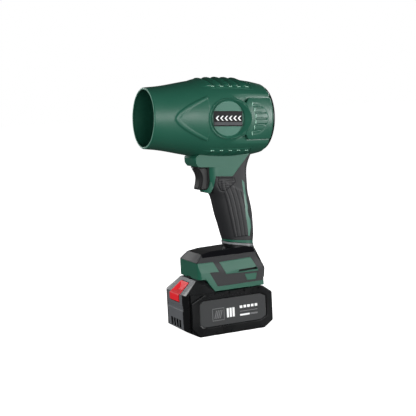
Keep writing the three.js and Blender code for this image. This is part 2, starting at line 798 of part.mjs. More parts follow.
function packBoard() {
  const board = boxSolid([-40, -24, 44], [38, 24, 45.6]);
  const chip = boxSolid([-20, -8, 45.4], [-8, 8, 48]);
  return board.add(chip);
}

// Spring clip that grips a contact blade.
function packContact(y) {
  const sideOf = (shift) => boxSolid([22, y + shift - 0.25, 45.9], [29.4, y + shift + 0.25, 65]);
  const foot = boxSolid([22, y - 1.05, 45.9], [29.4, y + 1.05, 47]);
  return unite([sideOf(-0.8), sideOf(0.8), foot]);
}

// ---- Materials ----------------------------------------------------------------------------

const material = (color, roughness, metalness = 0) =>
  new THREE.MeshStandardMaterial({ color, roughness, metalness });
const LOOKS = {
  green: () => material(0x1f5a46, 0.45),
  badgeGreen: () => material(0x2f7560, 0.5),
  rubber: () => material(0x3c3d3f, 0.85),
  glossBlack: () => material(0x101012, 0.2),
  matteBlack: () => material(0x26272a, 0.55),
  panelGrey: () => material(0x414346, 0.6),
  lightGrey: () => material(0x9b9c9e, 0.45),
  red: () => material(0xd3202a, 0.4),
  steel: () => material(0xb9bcc0, 0.3, 1),
  copper: () => material(0xb87333, 0.4, 1),
  board: () => material(0x1d5a2e, 0.6),
  cellBlue: () => material(0x2c5f9e, 0.5),
};

// ---- Assembly --------------------------------------------------------------------------------

const blower = new THREE.Group();

function place(name, solid, look, parent = blower) {
  const mesh = new THREE.Mesh(geometryOf(solid), LOOKS[look]());
  mesh.name = name;
  parent.add(mesh);
}

const bothHalves = housing();
place("housing_left", bothHalves.intersect(leftSpace), "green");
place("housing_right", bothHalves.intersect(rightSpace), "green");

const gripSkins = overmoulds();
place("grip_overmould_left", gripSkins.intersect(leftSpace), "rubber");
place("grip_overmould_right", gripSkins.intersect(rightSpace), "rubber");

const footSkins = bumpers();
place("foot_bumper_left", footSkins.intersect(leftSpace), "rubber");
place("foot_bumper_right", footSkins.intersect(rightSpace), "rubber");

place("foot_cover", footCover(), "glossBlack");
place("grip_collar", collarSolid(0), "lightGrey");

place("badge_disc_right", badgeDisc(), "badgeGreen");
place("badge_disc_left", mirrored(badgeDisc()), "badgeGreen");
place("label_plate_right", labelPlate(), "glossBlack");
place("label_plate_left", mirrored(labelPlate()), "glossBlack");

const barrelGroup = new THREE.Group();
barrelGroup.position.copy(MOUTH);
barrelGroup.rotation.y = AXIS_TILT;
blower.add(barrelGroup);
place("rear_grille", rearGrille(), "matteBlack", barrelGroup);
place("fan_duct", fanDuct(), "matteBlack", barrelGroup);
place("impeller", impeller(), "matteBlack", barrelGroup);
place("spinner", spinner(), "matteBlack", barrelGroup);
place("rotor_shaft", rotorShaft(), "steel", barrelGroup);
place("motor_case", motorCase(), "steel", barrelGroup);
place("motor_end_cap", motorEndCap(), "steel", barrelGroup);
place("bearing_front", bearing(50.2), "steel", barrelGroup);
place("bearing_rear", bearing(78.5), "steel", barrelGroup);
place("stator_core", statorCore(), "copper", barrelGroup);
place("tail_cone", tailCone(), "matteBlack", barrelGroup);

place("trigger", triggerSolid(), "matteBlack");
place(
  "trigger_spring",
  springSolid(new THREE.Vector3(-1.6, 0, 199), new THREE.Vector3(11.2, 0, 199), 5.2, 0.5, 4),
  "steel",
);
place("switch_body", switchBody(), "matteBlack");
place("controller_board", controllerBoard(), "board");
place("terminal_block", terminalBlock(), "matteBlack");
place("contact_blade_plus", contactBlade(-11), "copper");
place("contact_blade_minus", contactBlade(11), "copper");
SCREW_PLACES.forEach((spot, i) => place(`housing_screw_${i + 1}`, screwSolid(spot), "steel"));

place("pack_upper_case", packUpper(), "matteBlack");
place("pack_lower_case", packLower(), "matteBlack");
place("side_frame_right", sideFrame(), "matteBlack");
place("side_frame_left", mirrored(sideFrame()), "matteBlack");
const sidePanel = sideSolid(PANEL_SIDE, PACK_HALF_WIDTH + GAP, 36.5);
place("side_panel_right", sidePanel, "panelGrey");
place("side_panel_left", mirrored(sidePanel), "panelGrey");
for (let row = 0; row < 2; row++) {
  for (let column = 0; column < 5; column++) {
    place(`cell_${row * 5 + column + 1}`, cell(column, row), "cellBlue");
  }
}
place("pack_board", packBoard(), "board");
place("pack_contact_plus", packContact(-11), "copper");
place("pack_contact_minus", packContact(11), "copper");
place("release_button", releaseButton(), "red");
place(
  "release_spring",
  springSolid(new THREE.Vector3(-44, 0, 55), new THREE.Vector3(-44, 0, 63), 2.6, 0.4, 4),
  "steel",
);

export default blower;
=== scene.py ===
"""A cordless pistol-grip jet blower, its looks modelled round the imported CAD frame.

Modelling is in millimetres in the frame's axes (+Z up, air leaves towards -X, -Y is the
tool's left side), and meshes are written in metres. Barrel pieces are modelled along the
barrel's own axis: x from the mouth backwards, z up.
"""

import json
import math
from contextlib import contextmanager

import bmesh
import bpy
import numpy as np
from mathutils import Matrix, Vector
from mathutils.bvhtree import BVHTree


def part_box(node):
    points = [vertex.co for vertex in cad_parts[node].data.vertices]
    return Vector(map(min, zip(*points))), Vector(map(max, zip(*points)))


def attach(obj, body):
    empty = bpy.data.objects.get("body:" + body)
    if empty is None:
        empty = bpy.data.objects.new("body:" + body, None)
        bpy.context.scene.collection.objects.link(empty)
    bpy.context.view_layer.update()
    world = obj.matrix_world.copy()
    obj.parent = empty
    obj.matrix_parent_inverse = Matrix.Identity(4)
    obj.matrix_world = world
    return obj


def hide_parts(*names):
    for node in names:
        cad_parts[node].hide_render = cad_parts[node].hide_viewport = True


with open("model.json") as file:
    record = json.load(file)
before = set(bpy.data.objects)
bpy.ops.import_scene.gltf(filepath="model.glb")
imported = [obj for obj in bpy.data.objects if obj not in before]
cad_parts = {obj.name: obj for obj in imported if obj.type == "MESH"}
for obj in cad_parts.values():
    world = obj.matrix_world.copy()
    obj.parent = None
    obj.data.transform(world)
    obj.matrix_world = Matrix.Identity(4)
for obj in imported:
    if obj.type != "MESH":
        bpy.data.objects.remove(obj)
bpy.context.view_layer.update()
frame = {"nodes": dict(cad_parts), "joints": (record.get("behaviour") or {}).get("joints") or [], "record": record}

MM = 0.001
SEAM = 0.12  # half the gap between two moulded pieces
FAR = 60  # past the tool's side, for shapes that cut right through it
HERE = Matrix.Identity(4)
SIDES = ((-1, "left"), (1, "right"))


# ---- Places taken from the frame ----


def box_mm(node):
    low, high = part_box(node)
    return low / MM, high / MM


def axes_at(origin, x, y, z):
    """The place of an origin with the three given axes."""
    return Matrix.Translation(origin) @ Matrix((x, y, z)).transposed().to_4x4()


fan_joint = next(joint for joint in frame["joints"] if joint["name"] == "fan_spin")
mouth = Vector(fan_joint["pos_m"]) / MM
axis = Vector(fan_joint["axis"]).normalized()
BARREL = axes_at(mouth, (axis.x, 0, axis.z), (0, 1, 0), (-axis.z, 0, axis.x))


# ---- Camera and light ----

CAMERA_TURN, CAMERA_DOWN, CAMERA_ROLL = (math.radians(a) for a in (24.55, 6.99, -2.89))
CAMERA_AIM = Vector((-0.011, 0, 0.1596))
CAMERA_DISTANCE = 1.349
LAMP_AIM = Vector((0, 0, 0.17))
FLOOR_HALF = 8000
FLOOR_GLOW = 0.97
# name, place and size in metres, power in watts
SOFTBOXES = [
    ("key_front", (0.0, -1.9, 0.46), (1.1, 0.6), 22),
    ("side_left", (-1.75, -0.72, 0.36), (0.9, 0.7), 31),
    ("side_right", (1.6, -1.2, 0.45), (0.5, 0.9), 38),
    ("back_left", (-0.7, 1.85, 0.95), (0.9, 0.7), 13),
    ("back_right", (1.5, 1.2, 0.5), (0.5, 0.7), 12),
]
FILL_ONLY = ("side_left",)  # its reflection would glare along the barrel


def add_camera():
    """Looks from the front left, a little above the tool, rolled slightly."""
    ahead = Vector((math.sin(CAMERA_TURN) * math.cos(CAMERA_DOWN),
                    math.cos(CAMERA_TURN) * math.cos(CAMERA_DOWN), -math.sin(CAMERA_DOWN)))
    level = Vector((math.cos(CAMERA_TURN), -math.sin(CAMERA_TURN), 0))
    right = level * math.cos(CAMERA_ROLL) + level.cross(ahead) * math.sin(CAMERA_ROLL)
    camera = bpy.data.objects.new("camera", bpy.data.cameras.new("camera"))
    camera.data.lens = 90
    camera.matrix_world = axes_at(
        CAMERA_AIM - ahead * CAMERA_DISTANCE, right, right.cross(ahead), -ahead
    )
    bpy.context.scene.collection.objects.link(camera)
    bpy.context.scene.camera = camera


def add_softbox(name, place, size, power):
    """A rectangular lamp aimed at the tool."""
    data = bpy.data.lights.new(name, "AREA")
    data.shape = "RECTANGLE"
    data.size, data.size_y = size
    data.energy = power
    lamp = bpy.data.objects.new(name, data)
    lamp.location = place
    lamp.rotation_mode = "QUATERNION"
    lamp.rotation_quaternion = (LAMP_AIM - Vector(place)).to_track_quat("-Z", "Y")
    lamp.visible_glossy = name not in FILL_ONLY
    bpy.context.scene.collection.objects.link(lamp)


def add_world():
    """A white backdrop for the camera, and dim even surroundings for everything else."""
    world = bpy.data.worlds.new("studio")
    bpy.context.scene.world = world
    world.use_nodes = True
    nodes, links = world.node_tree.nodes, world.node_tree.links
    around = nodes["Background"]
    place = nodes.new("ShaderNodeTexCoord")
    split = nodes.new("ShaderNodeSeparateXYZ")
    ramp = nodes.new("ShaderNodeValToRGB")
    links.new(place.outputs["Generated"], split.inputs[0])
    links.new(split.outputs["Z"], ramp.inputs[0])
    links.new(ramp.outputs[0], around.inputs["Color"])
    stops = ramp.color_ramp.elements
    stops[0].position, stops[0].color = 0.0, (0.075, 0.075, 0.075, 1)
    stops[1].position, stops[1].color = 0.8, (0.03, 0.032, 0.034, 1)
    backdrop = nodes.new("ShaderNodeBackground")
    backdrop.inputs["Color"].default_value = (1, 1, 1, 1)
    rays = nodes.new("ShaderNodeLightPath")
    choice = nodes.new("ShaderNodeMixShader")
    links.new(rays.outputs["Is Camera Ray"], choice.inputs[0])
    links.new(around.outputs[0], choice.inputs[1])
    links.new(backdrop.outputs[0], choice.inputs[2])
    links.new(choice.outputs[0], nodes["World Output"].inputs["Surface"])


def add_studio():
    """The surroundings, a pale floor and the softboxes."""
    add_world()
    corners = [(x, y, 0) for x in (-FLOOR_HALF, FLOOR_HALF) for y in (-FLOOR_HALF, FLOOR_HALF)]
    floor = mesh_piece("floor", corners, grid_faces(2, 2))
    paint = plastic("floor_paint", (0.8, 0.8, 0.8), 0.8, grain=0, tint=0.0)
    shader = paint.node_tree.nodes["Principled BSDF"]
    shader.inputs["Emission Color"].default_value = (1, 1, 1, 1)
    shader.inputs["Emission Strength"].default_value = FLOOR_GLOW
    wear(floor, paint)
    floor.visible_diffuse = False
    floor.visible_glossy = False
    for softbox in SOFTBOXES:
        add_softbox(*softbox)
    bpy.context.scene.view_settings.view_transform = "Standard"


# ---- Materials ----

# look: material slot, material name, colour, roughness and other settings.
# CAD pieces wear the first look listed for their slot.
LOOKS = {
    "green": ("shell_green", "green_shell", (0.0125, 0.080, 0.051), 0.44, {"tint": 0.06}),
    # rim: a lighter green that paints the highlight along the mouth's lip
    "rim": ("shell_green", "green_rim_painted_highlight", (0.11, 0.23, 0.18), 0.4, {"height": 0.01, "tint": 0.05}),
    "green_light": ("badge_green", "green_badge", (0.026, 0.115, 0.08), 0.42,
                    {"height": 0.02, "tint": 0.06}),
    # rib_end: a pale green that paints the highlights on the rib ends
    "rib_end": ("badge_green", "green_rib_end_painted_glint", (0.24, 0.43, 0.34), 0.4,
                {"height": 0.01, "tint": 0.05}),
    "rubber": ("grip_rubber", "rubber_skin", (0.015, 0.0155, 0.0168), 0.55,
               {"grain": 0.5, "height": 0.06, "shine": 0.35}),
    "black": ("matte_black", "black_case", (0.004, 0.0044, 0.0048), 0.3,
              {"height": 0.02, "shine": 0.34}),
    "grey": ("matte_black", "grey_case", (0.095, 0.10, 0.107), 0.5, {"shine": 0.4}),
    "trigger": ("matte_black", "trigger_plastic", (0.010, 0.0104, 0.0108), 0.4, {"shine": 0.4}),
    "gloss": ("gloss_black", "gloss_black", (0.004, 0.004, 0.005), 0.14,
              {"grain": 0, "coat": 0.15, "scuff": 0.03}),
    "plate": ("gloss_black", "label_plate", (0.006, 0.0062, 0.0066), 0.3,
              {"grain": 0.3, "height": 0.01, "shine": 0.25}),
    "strip": ("gloss_black", "label_strip", (0.045, 0.048, 0.052), 0.4,
              {"grain": 0.3, "height": 0.01, "shine": 0.3}),
    "silver": ("light_grey", "silver_ring", (0.15, 0.155, 0.16), 0.35, {"height": 0.015}),
    "brow": ("light_grey", "grey_brow", (0.017, 0.018, 0.0195), 0.5, {"shine": 0.2}),
    "print": ("light_grey", "white_print", (0.75, 0.76, 0.76), 0.5,
              {"grain": 0.3, "height": 0.005, "tint": 0.04}),
    "faint": ("light_grey", "grey_print", (0.11, 0.112, 0.115), 0.5,
              {"grain": 0.3, "height": 0.005}),
    "panel": ("panel_grey", "panel_texture", (0.027, 0.0285, 0.0295), 0.6,
              {"grain": 0.7, "height": 0.08, "shine": 0.3}),
    "red": ("button_red", "red_button", (0.70, 0.018, 0.026), 0.5,
            {"height": 0.015, "tint": 0.05, "shine": 0.25}),
    "steel": ("steel", "plated_steel", (0.55, 0.56, 0.58), 0.28,
              {"grain": 0.2, "height": 0.01, "metal": 1.0}),
    "copper": ("copper", "bare_copper", (0.75, 0.36, 0.2), 0.32,
               {"grain": 0.3, "height": 0.01, "metal": 1.0}),
    "board": ("circuit_board", "board_lacquer", (0.02, 0.12, 0.045), 0.35, {"grain": 0.9}),
    "sleeve": ("cell_sleeve", "cell_sleeve", (0.04, 0.13, 0.35), 0.35, {"grain": 0}),
}


def plastic(name, color, rough, grain=0.35, height=0.03, tint=0.12, coat=0.0, metal=0.0,
            scuff=0.06, shine=0.5):
    """Moulded plastic: spark texture of a grain size, uneven sheen and faint tint changes."""
    material = bpy.data.materials.new(name)
    material.use_nodes = True
    nodes, links = material.node_tree.nodes, material.node_tree.links
    shader = nodes["Principled BSDF"]
    shader.inputs["Metallic"].default_value = metal
    shader.inputs["Coat Weight"].default_value = coat
    shader.inputs["Specular IOR Level"].default_value = shine
    shader.inputs["Coat Roughness"].default_value = 0.08
    place = nodes.new("ShaderNodeTexCoord")

    def noise(scale, detail):
        made = nodes.new("ShaderNodeTexNoise")
        made.inputs["Scale"].default_value = scale
        made.inputs["Detail"].default_value = detail
        links.new(place.outputs["Object"], made.inputs["Vector"])
        return made

    broad = noise(28, 4)
    shades = nodes.new("ShaderNodeMix")
    shades.data_type = "RGBA"
    for socket, change in (("A", -tint), ("B", tint)):
        shade = [min(1.0, channel * (1 + change)) for channel in color]
        shades.inputs[socket].default_value = (*shade, 1)
    links.new(broad.outputs["Fac"], shades.inputs["Factor"])
    links.new(shades.outputs["Result"], shader.inputs["Base Color"])

    sheen = nodes.new("ShaderNodeMapRange")
    for socket, value in (("From Min", 0.3), ("From Max", 0.7),
                          ("To Min", max(0.02, rough - scuff)),
                          ("To Max", min(1.0, rough + scuff))):
        sheen.inputs[socket].default_value = value
    links.new(broad.outputs["Fac"], sheen.inputs["Value"])
    links.new(sheen.outputs["Result"], shader.inputs["Roughness"])

    if grain:
        bump = nodes.new("ShaderNodeBump")
        bump.inputs["Strength"].default_value = 0.6
        bump.inputs["Distance"].default_value = height * MM
        links.new(noise(1 / (grain * MM), 2).outputs["Fac"], bump.inputs["Height"])
        links.new(bump.outputs["Normal"], shader.inputs["Normal"])
    return material


def wear(piece, material):
    piece.data.materials.clear()
    piece.data.materials.append(material)


# ---- Mesh tools ----


def link_object(name, mesh):
    piece = bpy.data.objects.new(name, mesh)
    bpy.context.scene.collection.objects.link(piece)
    return piece


def mesh_piece(name, vertices, faces, place=HERE):
    """A piece from vertices in millimetres."""
    mesh = bpy.data.meshes.new(name)
    points = np.asarray(vertices, float).reshape(-1, 3)
    moved = points @ np.array(place.to_3x3()).T + np.array(place.translation)
    mesh.from_pydata((moved * MM).tolist(), [], faces)
    mesh.update()
    return link_object(name, mesh)


@contextmanager
def editing(piece):
    """The piece's mesh as a bmesh, written back at the end."""
    shape = bmesh.new()
    shape.from_mesh(piece.data)
    yield shape
    shape.to_mesh(piece.data)
    shape.free()


def solid(name, vertices, faces, place=HERE):
    """A closed piece with its faces turned outwards."""
    piece = mesh_piece(name, vertices, faces, place)
    with editing(piece) as shape:
        bmesh.ops.recalc_face_normals(shape, faces=shape.faces)
    return piece


def grid_faces(rows, columns, wrap=False, start=0):
    """Quads over a grid of vertices stored row by row."""
    faces = []
    for row in range(rows - 1):
        for column in range(columns if wrap else columns - 1):
            after = (column + 1) % columns
            a = start + row * columns
            b = a + columns
            faces.append((a + column, a + after, b + after, b + column))
    return faces


def tube_faces(rows, columns):
    """Quads over a stack of closed rings, with a cap at each end."""
    faces = grid_faces(rows, columns, wrap=True)
    faces.append(tuple(reversed(range(columns))))
    faces.append(tuple(range((rows - 1) * columns, rows * columns)))
    return faces


def box(a, b, c, d):
    """The outline of a rectangle from corner (a, b) to corner (c, d)."""
    return [(a, b), (c, b), (c, d), (a, d)]


def mirrored(half):
    """An outline from its half on the negative side of the second axis."""
    return half + [(a, -b) for a, b in reversed(half)]


def span(side, near, far):
    """The lower and upper ends of a stretch on one side of the middle."""
    return sorted((side * near, side * far))


def prism(name, outline, low=-FAR, high=FAR, across="y", place=HERE):
    """An outline pulled along one axis. Its points are in the other two axes, in order."""
    order = {"x": (2, 0, 1), "y": (0, 2, 1), "z": (0, 1, 2)}[across]
    vertices = [[(a, b, level)[k] for k in order] for level in (low, high) for a, b in outline]
    count = len(outline)
    faces = [tuple(range(count)), tuple(reversed(range(count, 2 * count)))]
    for i in range(count):
        j = (i + 1) % count
        faces.append((i, j, count + j, count + i))
    return solid(name, vertices, faces, place)


def block(name, low, high, place=HERE):
    return prism(name, box(*low[:2], *high[:2]), low[2], high[2], "z", place)


def turned(name, profile, steps=96, place=BARREL, closed=False):
    """A body of revolution round local x from (along, radius) points."""
    turns = [2 * math.pi * i / steps for i in range(steps)]
    vertices = [
        (along, radius * math.cos(turn), radius * math.sin(turn))
        for along, radius in profile
        for turn in turns
    ]
    if closed:
        faces = grid_faces(len(profile), steps, wrap=True)
        last = len(vertices) - steps
        for i in range(steps):
            after = (i + 1) % steps
            faces.append((last + i, last + after, after, i))
    else:
        faces = tube_faces(len(profile), steps)
    return solid(name, vertices, faces, place)


def settle(piece):
    """Replaces the piece's mesh with the result of its modifiers."""
    graph = bpy.context.evaluated_depsgraph_get()
    made = bpy.data.meshes.new_from_object(piece.evaluated_get(graph))
    old = piece.data
    piece.modifiers.clear()
    piece.data = made
    made.name = piece.name
    bpy.data.meshes.remove(old)


def combine(piece, operation, others):
    for other in others:
        modifier = piece.modifiers.new("combine", "BOOLEAN")
        modifier.operation = operation
        modifier.solver = "MANIFOLD"
        modifier.object = other
        settle(piece)
        bpy.data.objects.remove(other)
    return piece


def cut(piece, *others):
    """Takes the other pieces away."""
    return combine(piece, "DIFFERENCE", others)


def trim(piece, *others):
    """Keeps only what lies inside every other piece."""
    return combine(piece, "INTERSECT", others)


def add(piece, *others):
    return combine(piece, "UNION", others)


def duplicate(piece, name):
    return link_object(name, piece.data.copy())


def join(name, parts):
    """One piece from several separate closed bodies."""
    shape = bmesh.new()
    for part in parts:
        shape.from_mesh(part.data)
        bpy.data.objects.remove(part)
    mesh = bpy.data.meshes.new(name)
    shape.to_mesh(mesh)
    shape.free()
    return link_object(name, mesh)


def clean(piece):
    """Merges coplanar faces and drops vertices that lie on straight edges."""
    with editing(piece) as shape:
        bmesh.ops.remove_doubles(shape, verts=shape.verts, dist=0.01 * MM)
        bmesh.ops.dissolve_limit(
            shape, angle_limit=math.radians(0.3), verts=shape.verts, edges=shape.edges
        )


def soften(piece, width, segments=3, angle=25):
    """Rounds the edges sharper than an angle, and pulls strays back onto the first surface."""
    clean(piece)
    before = bmesh.new()
    before.from_mesh(piece.data)
    surface = BVHTree.FromBMesh(before)
    before.free()
    modifier = piece.modifiers.new("soften", "BEVEL")
    modifier.width = width * MM
    modifier.segments = segments
    modifier.limit_method = "ANGLE"
    modifier.angle_limit = math.radians(angle)
    modifier.use_clamp_overlap = True
    modifier.miter_outer = "MITER_ARC"
    settle(piece)
    for vertex in piece.data.vertices:
        place, _, _, away = surface.find_nearest(vertex.co)
        if away > width * MM * 0.6:
            vertex.co = place
    return piece


def finish(piece, body, look, *nodes, slot=None, angle=32, weighted=True):
    """Shades a piece, gives it its look and body, and hides the CAD nodes it stands for. Its slot is not used."""
    piece.data.shade_smooth()
    piece.data.set_sharp_from_angle(angle=math.radians(angle))
    if weighted:
        modifier = piece.modifiers.new("normals", "WEIGHTED_NORMAL")
        modifier.keep_sharp = True
    wear(piece, looks[look])
    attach(piece, body)
    slot or LOOKS[look][0]
    if nodes:
        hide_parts(*nodes)
    return piece


def offset(points, distance):
    """Moves each edge of a counter-clockwise outline outwards."""
    count = len(points)
    moved = []
    for i, point in enumerate(points):
        before, after = points[i - 1], points[(i + 1) % count]
        normals = []
        for start, end in ((before, point), (point, after)):
            length = math.hypot(end[0] - start[0], end[1] - start[1])
            normals.append(((end[1] - start[1]) / length, (start[0] - end[0]) / length))
        (ax, ay), (bx, by) = normals
        scale = distance / (1 + ax * bx + ay * by)
        moved.append((point[0] + (ax + bx) * scale, point[1] + (ay + by) * scale))
    return moved


def step(values, low, high):
    """0 below low, 1 above high, with a smooth change between."""
    t = np.clip((np.asarray(values, float) - low) / (high - low), 0, 1)
    return t * t * (3 - 2 * t)


def ridge(away, width):
    """1 where away is 0, falling smoothly to nothing over a few widths."""
    return np.exp(-((away / width) ** 2))


def smooth_table(at, keys, values, width=2.6):
    """Values read between a table's keys, with the corners rounded over a width."""
    spread = np.linspace(-4, 4, 9)
    weights = ridge(spread, width)
    total = sum(w * np.interp(at + d, keys, values) for d, w in zip(spread, weights))
    return total / weights.sum()


def distance_to_line(s, h, start, end):
    """Distance from points (s, h) to a line segment, and the share along it."""
    ds, dh = end[0] - start[0], end[1] - start[1]
    share = np.clip(((s - start[0]) * ds + (h - start[1]) * dh) / (ds * ds + dh * dh), 0, 1)
    return np.hypot(s - start[0] - share * ds, h - start[1] - share * dh), share


# ---- Barrel ----

LENGTH = 161.3
RADII = [
    (-5, 38.1), (0, 38.5), (15, 39.8), (25, 41.2), (35, 43.0), (45, 44.9), (55, 46.7),
    (65, 48.4), (75, 49.7), (85, 50.6), (95, 51.0), (105, 51.1), (115, 50.8), (125, 50.2),
    (135, 49.2), (145, 47.9), (150, 46.9), (155, 45.9), (160, 44.8), (166, 42.6),
]
WALL = 2.5
BADGE_AT = 96.5
BADGE_RADIUS = 22.4
BADGE_FACE = 44.7
BADGE_RECESS = 1.2
BOWL_SLOPE = 1.3
CHEVRON_TIP = 25.8
CHEVRON_LENGTH = 43.4
CHEVRON_HALF = 28
CHEVRON_BOW = 1.65
FACET_TOP = 31.4
PANEL_EDGE = 26.0
PANEL_FRONT = 120.9
LOUVRES = [80.2 + 12.15 * i for i in range(5)]
LOUVRE_HALF_ANGLE = 36.0
LOUVRE_LOW, LOUVRE_HIGH = -1.4, 1.7
LAST_LOUVRE = 9.3  # the plain step behind the last crest
BORDER_ANGLE = 41.5
VENT_START = 132.4
VENT_PITCH = 7.3
VENT_BOW = 3.6
VENT_HALF = 18.3


def outline_radius(along):
    """Smooth outer radius of the plain barrel."""
    return smooth_table(along, *zip(*RADII), width=3)


def chevron(s, h):
    """Raised V-shaped band with a faint plateau behind it."""
    across = np.abs(h)
    shares = np.linspace(0, 1.12, 20)
    line = [(CHEVRON_TIP + CHEVRON_LENGTH * t**CHEVRON_BOW, CHEVRON_HALF * t) for t in shares]
    away = np.full(s.shape, 1e9)
    place = np.zeros(s.shape)
    for i, (start, end) in enumerate(zip(line, line[1:])):
        gap, share = distance_to_line(s, across, start, end)
        nearer = gap < away
        place = np.where(nearer, shares[i] + share * (shares[1] - shares[0]), place)
        away = np.minimum(away, gap)
    behind = np.clip(s - CHEVRON_TIP, 0, None) / CHEVRON_LENGTH
    reach = CHEVRON_HALF * behind ** (1 / CHEVRON_BOW)
    away = np.where(across < reach, away, -away)
    width = 5.6 - 2.4 * np.clip(place, 0, 1)
    height = 1.15 * step(away, -0.5, 0.9) - 0.75 * step(away, width - 1.3, width + 0.9)
    return height * (1 - step(s, 68.8, 69.9)) * (1 - step(across, 28.4, 29.6))


def facet_lower_edge(s):
    return np.interp(s, (96, 120.9, 125.3, 170), (FACET_TOP, 20.3, PANEL_EDGE, PANEL_EDGE))


def facets(s, h):
    """Flattened bands above and below the rear panel, and the groove along its edge."""
    across = np.abs(h)
    lower = facet_lower_edge(s)
    radius = outline_radius(s)
    flat = np.sqrt(radius**2 - FACET_TOP**2)
    here = np.sqrt(np.clip(radius**2 - across**2, 1, None))
    depth = 0.62 * (here - flat) * here / radius
    depth = np.where(across < FACET_TOP, depth, 0) * step(s, 92, 120)
    groove = 0.8 * ridge(across - lower - 0.9, 0.8) * step(s, 104, 119)
    return -(depth + groove) * step(across, lower - 0.45, lower + 0.45)


def rear_panel(s, h):
    """Raised panel with a D-shaped field of ribs and slots."""
    across = np.abs(h)
    front = np.interp(across, (0, 20.3, PANEL_EDGE), (PANEL_FRONT, PANEL_FRONT, 125.3))
    inside = step(s, front - 0.5, front + 0.5)
    inside = inside * step(-across, -PANEL_EDGE - 0.4, -PANEL_EDGE + 0.4)
    inside *= 1 - step(s, 158.3, 159.4)
    height = 0.75 * inside
    start = VENT_START - VENT_BOW * (across / VENT_HALF) ** 2
    round_off = np.clip(1 - (across / 19.5) ** 2, 0, 1)
    end = VENT_START + 2 + 17.5 * np.sqrt(round_off)
    field = step(s, start + 1.0, start + 2.0) * (1 - step(s, end - 0.9, end))
    height -= 0.45 * field * (across < 19.4)
    length = step(s, start - 0.2, start + 0.6) * (1 - step(s, end - 2.6, end - 1.4))
    for i in range(-2, 3):
        height -= 1.2 * step(-np.abs(h - i * VENT_PITCH), -1.35, -0.55) * length
    return height


def louvres(s, h, angle_from_pole):
    """Shingled ribs over the top and, shallower, the bottom, with a slot behind each crest."""
    edge = step(-angle_from_pole, -LOUVRE_HALF_ANGLE - 0.6, -LOUVRE_HALF_ANGLE + 0.6)
    share = np.clip(angle_from_pole / LOUVRE_HALF_ANGLE, 0, 1)
    along = s + 7.5 * (1 - share**1.7)
    height = np.zeros_like(s)
    for index, crest in enumerate([*LOUVRES, LOUVRES[-1] + LAST_LOUVRE]):
        low = 0.0 if index == 0 else LOUVRE_LOW
        high = LOUVRE_HIGH if index < 5 else 0.25
        length = LAST_LOUVRE if index == 5 else LOUVRES[1] - LOUVRES[0]
        rise = np.clip(1 + (along - crest) / length, 0, 1)
        ramp = low + (high - low) * rise**0.8
        height = np.where((along <= crest) & (along > crest - length), ramp, height)
        height += 0.6 * ridge(along - crest + 0.5, 0.65) * (index < 5)
    clear_of_block = step(angle_from_pole, 21, 25)
    height *= edge * np.where(h > 0, 1.0, 0.5 * clear_of_block)
    border = ridge(angle_from_pole - BORDER_ANGLE, 0.8)
    border *= step(s, 77, 79) * (1 - step(s, 136.5, 138))
    rear = ridge(s - 134.5 - 0.386 * (np.abs(h) - 37.7), 0.8)
    border = np.maximum(border, rear * (angle_from_pole < BORDER_ANGLE))
    return height - 0.6 * border * np.where(h > 0, 1.0, clear_of_block)


def badge_pocket(s, radius, angle):
    """Radius at which the bowl round the badge cuts the barrel, with its raised rim."""
    result = radius.copy()
    cosine, sine = np.cos(angle), np.sin(angle)
    floor, edge = BADGE_FACE - BADGE_RECESS, BADGE_RADIUS + 0.3
    for _ in range(6):
        away = np.hypot(s - BADGE_AT, result * sine)
        bowl = floor + BOWL_SLOPE * np.clip(away - edge, 0, 30)
        wanted = bowl / np.maximum(cosine, 0.3)
        result = np.where(away < 30.5, np.minimum(radius, wanted), radius)
    away = np.hypot(s - BADGE_AT, radius * sine)
    reach = edge + np.clip((radius * cosine - floor) / BOWL_SLOPE, 0, 9)
    return result + 1.15 * ridge(away - reach - 0.9, 0.85)


def barrel_surface(s, angle):
    """Outer radius of the barrel with all its relief."""
    radius = outline_radius(s)
    h = radius * np.sin(angle)
    radius = radius + chevron(s, h) + facets(s, h) + rear_panel(s, h)
    radius = radius + louvres(s, h, 90 - np.degrees(np.abs(angle)))
    radius = badge_pocket(s, radius, angle)
    lip = 0.9 * (1 - step(s, 0, 0.9))
    rear = 1.1 * step(s, LENGTH - 1.6, LENGTH)
    return radius - lip - rear


def barrel_half(name, side):
    """Half of the barrel shell as one closed body."""
    fine = np.arange(-32.5, 32.51, 0.5) / 50.5
    outer_angles = np.linspace(math.asin(33.1 / 50.5), math.pi / 2, 74)
    angles = np.concatenate([-outer_angles[::-1], np.arcsin(fine), outer_angles])
    stations = np.concatenate(
        [[0, 0.25, 0.5, 0.9, 1.5], np.arange(2.5, 62, 1.15), np.arange(62.5, 158, 0.62),
         np.linspace(158.3, LENGTH, 8)]
    )
    s, angle = np.meshgrid(stations, angles)
    outer = barrel_surface(s, angle)
    inner_stations = np.concatenate([[0.0], np.linspace(1.2, LENGTH - 0.4, 62), [LENGTH]])
    si, angle_i = np.meshgrid(inner_stations, angles)
    inner = np.minimum(outline_radius(si) - WALL, barrel_surface(si, angle_i) - 1.9)
    rows = len(angles)

    def points(along, radius, turn):
        y = side * (radius * np.cos(turn) + SEAM)
        return np.stack([along, y, radius * np.sin(turn)], axis=-1).reshape(-1, 3)

    vertices = np.concatenate([points(s, outer, angle), points(si, inner, angle_i)])
    columns, inner_columns = len(stations), len(inner_stations)
    start = rows * columns
    faces = grid_faces(rows, columns) + grid_faces(rows, inner_columns, start=start)
    for row in range(rows - 1):
        a, b = row * columns, start + row * inner_columns
        faces.append((a, a + columns, b + inner_columns, b))
        a, b = a + columns - 1, b + inner_columns - 1
        faces.append((a, a + columns, b + inner_columns, b))
    for row in (0, rows - 1):
        outer_edge = list(range(row * columns, (row + 1) * columns))
        first = start + row * inner_columns
        faces.append(tuple(outer_edge + list(range(first, first + inner_columns))[::-1]))
    return solid(name, vertices, faces, BARREL)


def build_barrel():
    for side, word in SIDES:
        half = barrel_half(f"barrel_{word}", side)
        finish(half, "tool", "green", f"housing_{word}", angle=42, weighted=False)


